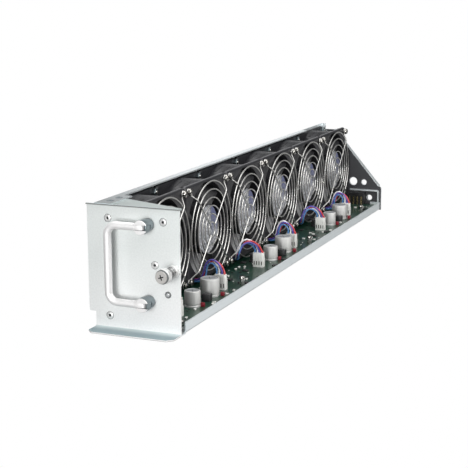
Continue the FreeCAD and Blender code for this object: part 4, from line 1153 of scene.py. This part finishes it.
NODE_LOOKS = {
    "tray_chassis": "zinc_tray",
    "front_panel": "zinc_panel",
    "front_bracket": "zinc_dark",
    "rear_plate": "zinc",
    "connector_hood": "zinc",
    "rear_insulator": "insulator",
    "rear_connector": "housing",
    "connector_contacts": "contact",
    "circuit_board": "board",
    "board_spacers": "turned",
    "bearings": "bronze",
    "stators": "copper",
    "handle_pins": "turned",
}
for n in range(1, FAN_COUNT + 1):
    NODE_LOOKS[f"rotor_shaft_{n}"] = "turned"
for node, look in NODE_LOOKS.items():
    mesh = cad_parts[node].data
    mesh.materials.clear()
    mesh.materials.append(M[look])


# Camera, solved from the photo's straight edges

YAW = 0.394985427
PITCH = 0.210065746
ROLL = -0.00409126
FOCAL_PX = 1209.05
IMAGE_PX = 468
CAMERA_AT = (436.114, -1132.805, 282.501)


def set_camera():
    forward = Vector((-math.sin(YAW) * math.cos(PITCH), math.cos(YAW) * math.cos(PITCH), -math.sin(PITCH)))
    right = Vector((math.cos(YAW), math.sin(YAW), 0))
    up = right.cross(forward)
    right_rolled = right * math.cos(ROLL) + up * math.sin(ROLL)
    up_rolled = up * math.cos(ROLL) - right * math.sin(ROLL)
    data = bpy.data.cameras.new("camera")
    data.sensor_width = 36.0
    data.lens = FOCAL_PX / IMAGE_PX * data.sensor_width
    data.clip_start = 0.05
    camera = bpy.data.objects.new("camera", data)
    bpy.context.scene.collection.objects.link(camera)
    turn = Matrix((right_rolled, up_rolled, -forward)).transposed().to_4x4()
    camera.matrix_world = Matrix.Translation(mm(*CAMERA_AT)) @ turn
    bpy.context.scene.camera = camera


set_camera()


# Light


def add_area(name, place, target, size, power, colour=(1, 1, 1), size_y=None):
    data = bpy.data.lights.new(name, "AREA")
    data.shape = "RECTANGLE"
    data.size = size
    data.size_y = size_y or size
    data.energy = power
    data.color = colour
    obj = bpy.data.objects.new(name, data)
    bpy.context.scene.collection.objects.link(obj)
    obj.location = place
    aim = Vector(target) - Vector(place)
    obj.rotation_euler = aim.to_track_quat("-Z", "Y").to_euler()


# The studio's light by height: sine of the elevation, level
SKY = ((-0.45, 0.60), (-0.34, 0.16), (-0.04, 0.12), (0.12, 0.22), (0.30, 0.35), (0.50, 0.70))
# Bright cards of the studio: direction, cosine at the soft edge, cosine where it is full, level
CARDS = (
    ((-0.38, -0.85, -0.36), 0.86, 0.98, 0.25),
    ((0.50, 0.80, -0.34), 0.935, 0.990, 2.1),
    ((-0.34, 0.94, 0.12), 0.974, 0.991, 2.3),
)


def set_world():
    """White to the camera; a soft studio gradient to everything else."""
    world = bpy.data.worlds.new("studio")
    bpy.context.scene.world = world
    world.use_nodes = True
    tree = world.node_tree
    tree.nodes.clear()
    coords = add_node(tree, "ShaderNodeTexCoord").outputs["Generated"]
    ramp = add_node(tree, "ShaderNodeValToRGB")
    stops = ramp.color_ramp.elements
    stops[0].position = 0.0
    stops[0].color = (0.60, 0.62, 0.62, 1)
    stops[1].position = 1.0
    stops[1].color = (0.70, 0.70, 0.70, 1)
    for height, level in SKY:
        stop = stops.new((height + 1) / 2)
        stop.color = (level * 0.97, level, level, 1)
    tree.links.new(remap(tree, split(tree, coords)["Z"], -1.0, 1.0), ramp.inputs["Fac"])
    total = ramp.outputs["Color"]
    for direction, edge, core, level in CARDS:
        toward = dot(tree, coords, Vector(direction).normalized())
        card = remap(tree, toward, edge, core, 0.0, level, interpolation_type="SMOOTHSTEP")
        both = add_node(tree, "ShaderNodeVectorMath", operation="ADD")
        tree.links.new(total, both.inputs[0])
        tree.links.new(card, both.inputs[1])
        total = both.outputs["Vector"]
    soft = add_node(tree, "ShaderNodeBackground", Strength=0.45)
    tree.links.new(total, soft.inputs["Color"])
    plain = add_node(tree, "ShaderNodeBackground", Strength=1.0)
    plain.inputs["Color"].default_value = (1, 1, 1, 1)
    path = add_node(tree, "ShaderNodeLightPath")
    mix = add_node(tree, "ShaderNodeMixShader")
    out = add_node(tree, "ShaderNodeOutputWorld")
    tree.links.new(path.outputs["Is Camera Ray"], mix.inputs["Fac"])
    tree.links.new(soft.outputs["Background"], mix.inputs[1])
    tree.links.new(plain.outputs["Background"], mix.inputs[2])
    tree.links.new(mix.outputs["Shader"], out.inputs["Surface"])


def set_floor():
    """Plain white floor under the tray, seen from above. It lets the studio's low light through."""
    mat = bpy.data.materials.new("floor_white")
    mat.use_nodes = True
    tree = mat.node_tree
    tree.nodes.clear()
    white = add_node(tree, "ShaderNodeEmission", Strength=1.0)
    white.inputs["Color"].default_value = (1, 1, 1, 1)
    clear = add_node(tree, "ShaderNodeBsdfTransparent")
    path = add_node(tree, "ShaderNodeLightPath")
    sides = add_node(tree, "ShaderNodeNewGeometry")
    seen = reckon(tree, "SUBTRACT", path.outputs["Is Camera Ray"], sides.outputs["Backfacing"])
    seen.node.use_clamp = True
    mix = add_node(tree, "ShaderNodeMixShader")
    out = add_node(tree, "ShaderNodeOutputMaterial")
    tree.links.new(seen, mix.inputs["Fac"])
    tree.links.new(clear.outputs["BSDF"], mix.inputs[1])
    tree.links.new(white.outputs["Emission"], mix.inputs[2])
    tree.links.new(mix.outputs["Shader"], out.inputs["Surface"])
    bm = bmesh.new()
    reach = 2.0
    height = -0.5 * MM
    corners = [bm.verts.new((x * reach, y * reach, height)) for x, y in ((-1, -1), (1, -1), (1, 1), (-1, 1))]
    bm.faces.new(corners)
    mesh = bpy.data.meshes.new("floor")
    bm.to_mesh(mesh)
    bm.free()
    mesh.materials.append(mat)
    floor = bpy.data.objects.new("floor", mesh)
    bpy.context.scene.collection.objects.link(floor)


set_world()
set_floor()
add_area("front", (0.18, -1.68, 0.18), (0.0, -0.29, 0.05), 0.5, 17.0)
add_area("low_front", (0.35, -0.9, -0.25), (0.0, -0.29, 0.03), 0.5, 0.3)
add_area("key", (0.75, -0.45, 1.05), (0.0, 0.0, 0.05), 0.9, 9.0)
add_area("side", (1.3, 0.0, 0.5), (0.0, 0.0, 0.05), 1.2, 9.0, (1, 0.99, 0.97), 0.8)
add_area("top", (-0.2, 0.1, 1.2), (0.0, 0.0, 0.05), 1.0, 8.0)
add_area("back", (-1.2, 0.55, 0.40), (0.0, 0.0, 0.05), 1.0, 6.0)

scene = bpy.context.scene
scene.view_settings.view_transform = "Standard"
scene.view_settings.look = "None"
scene.view_settings.exposure = 0.0
scene.view_settings.gamma = 1.0
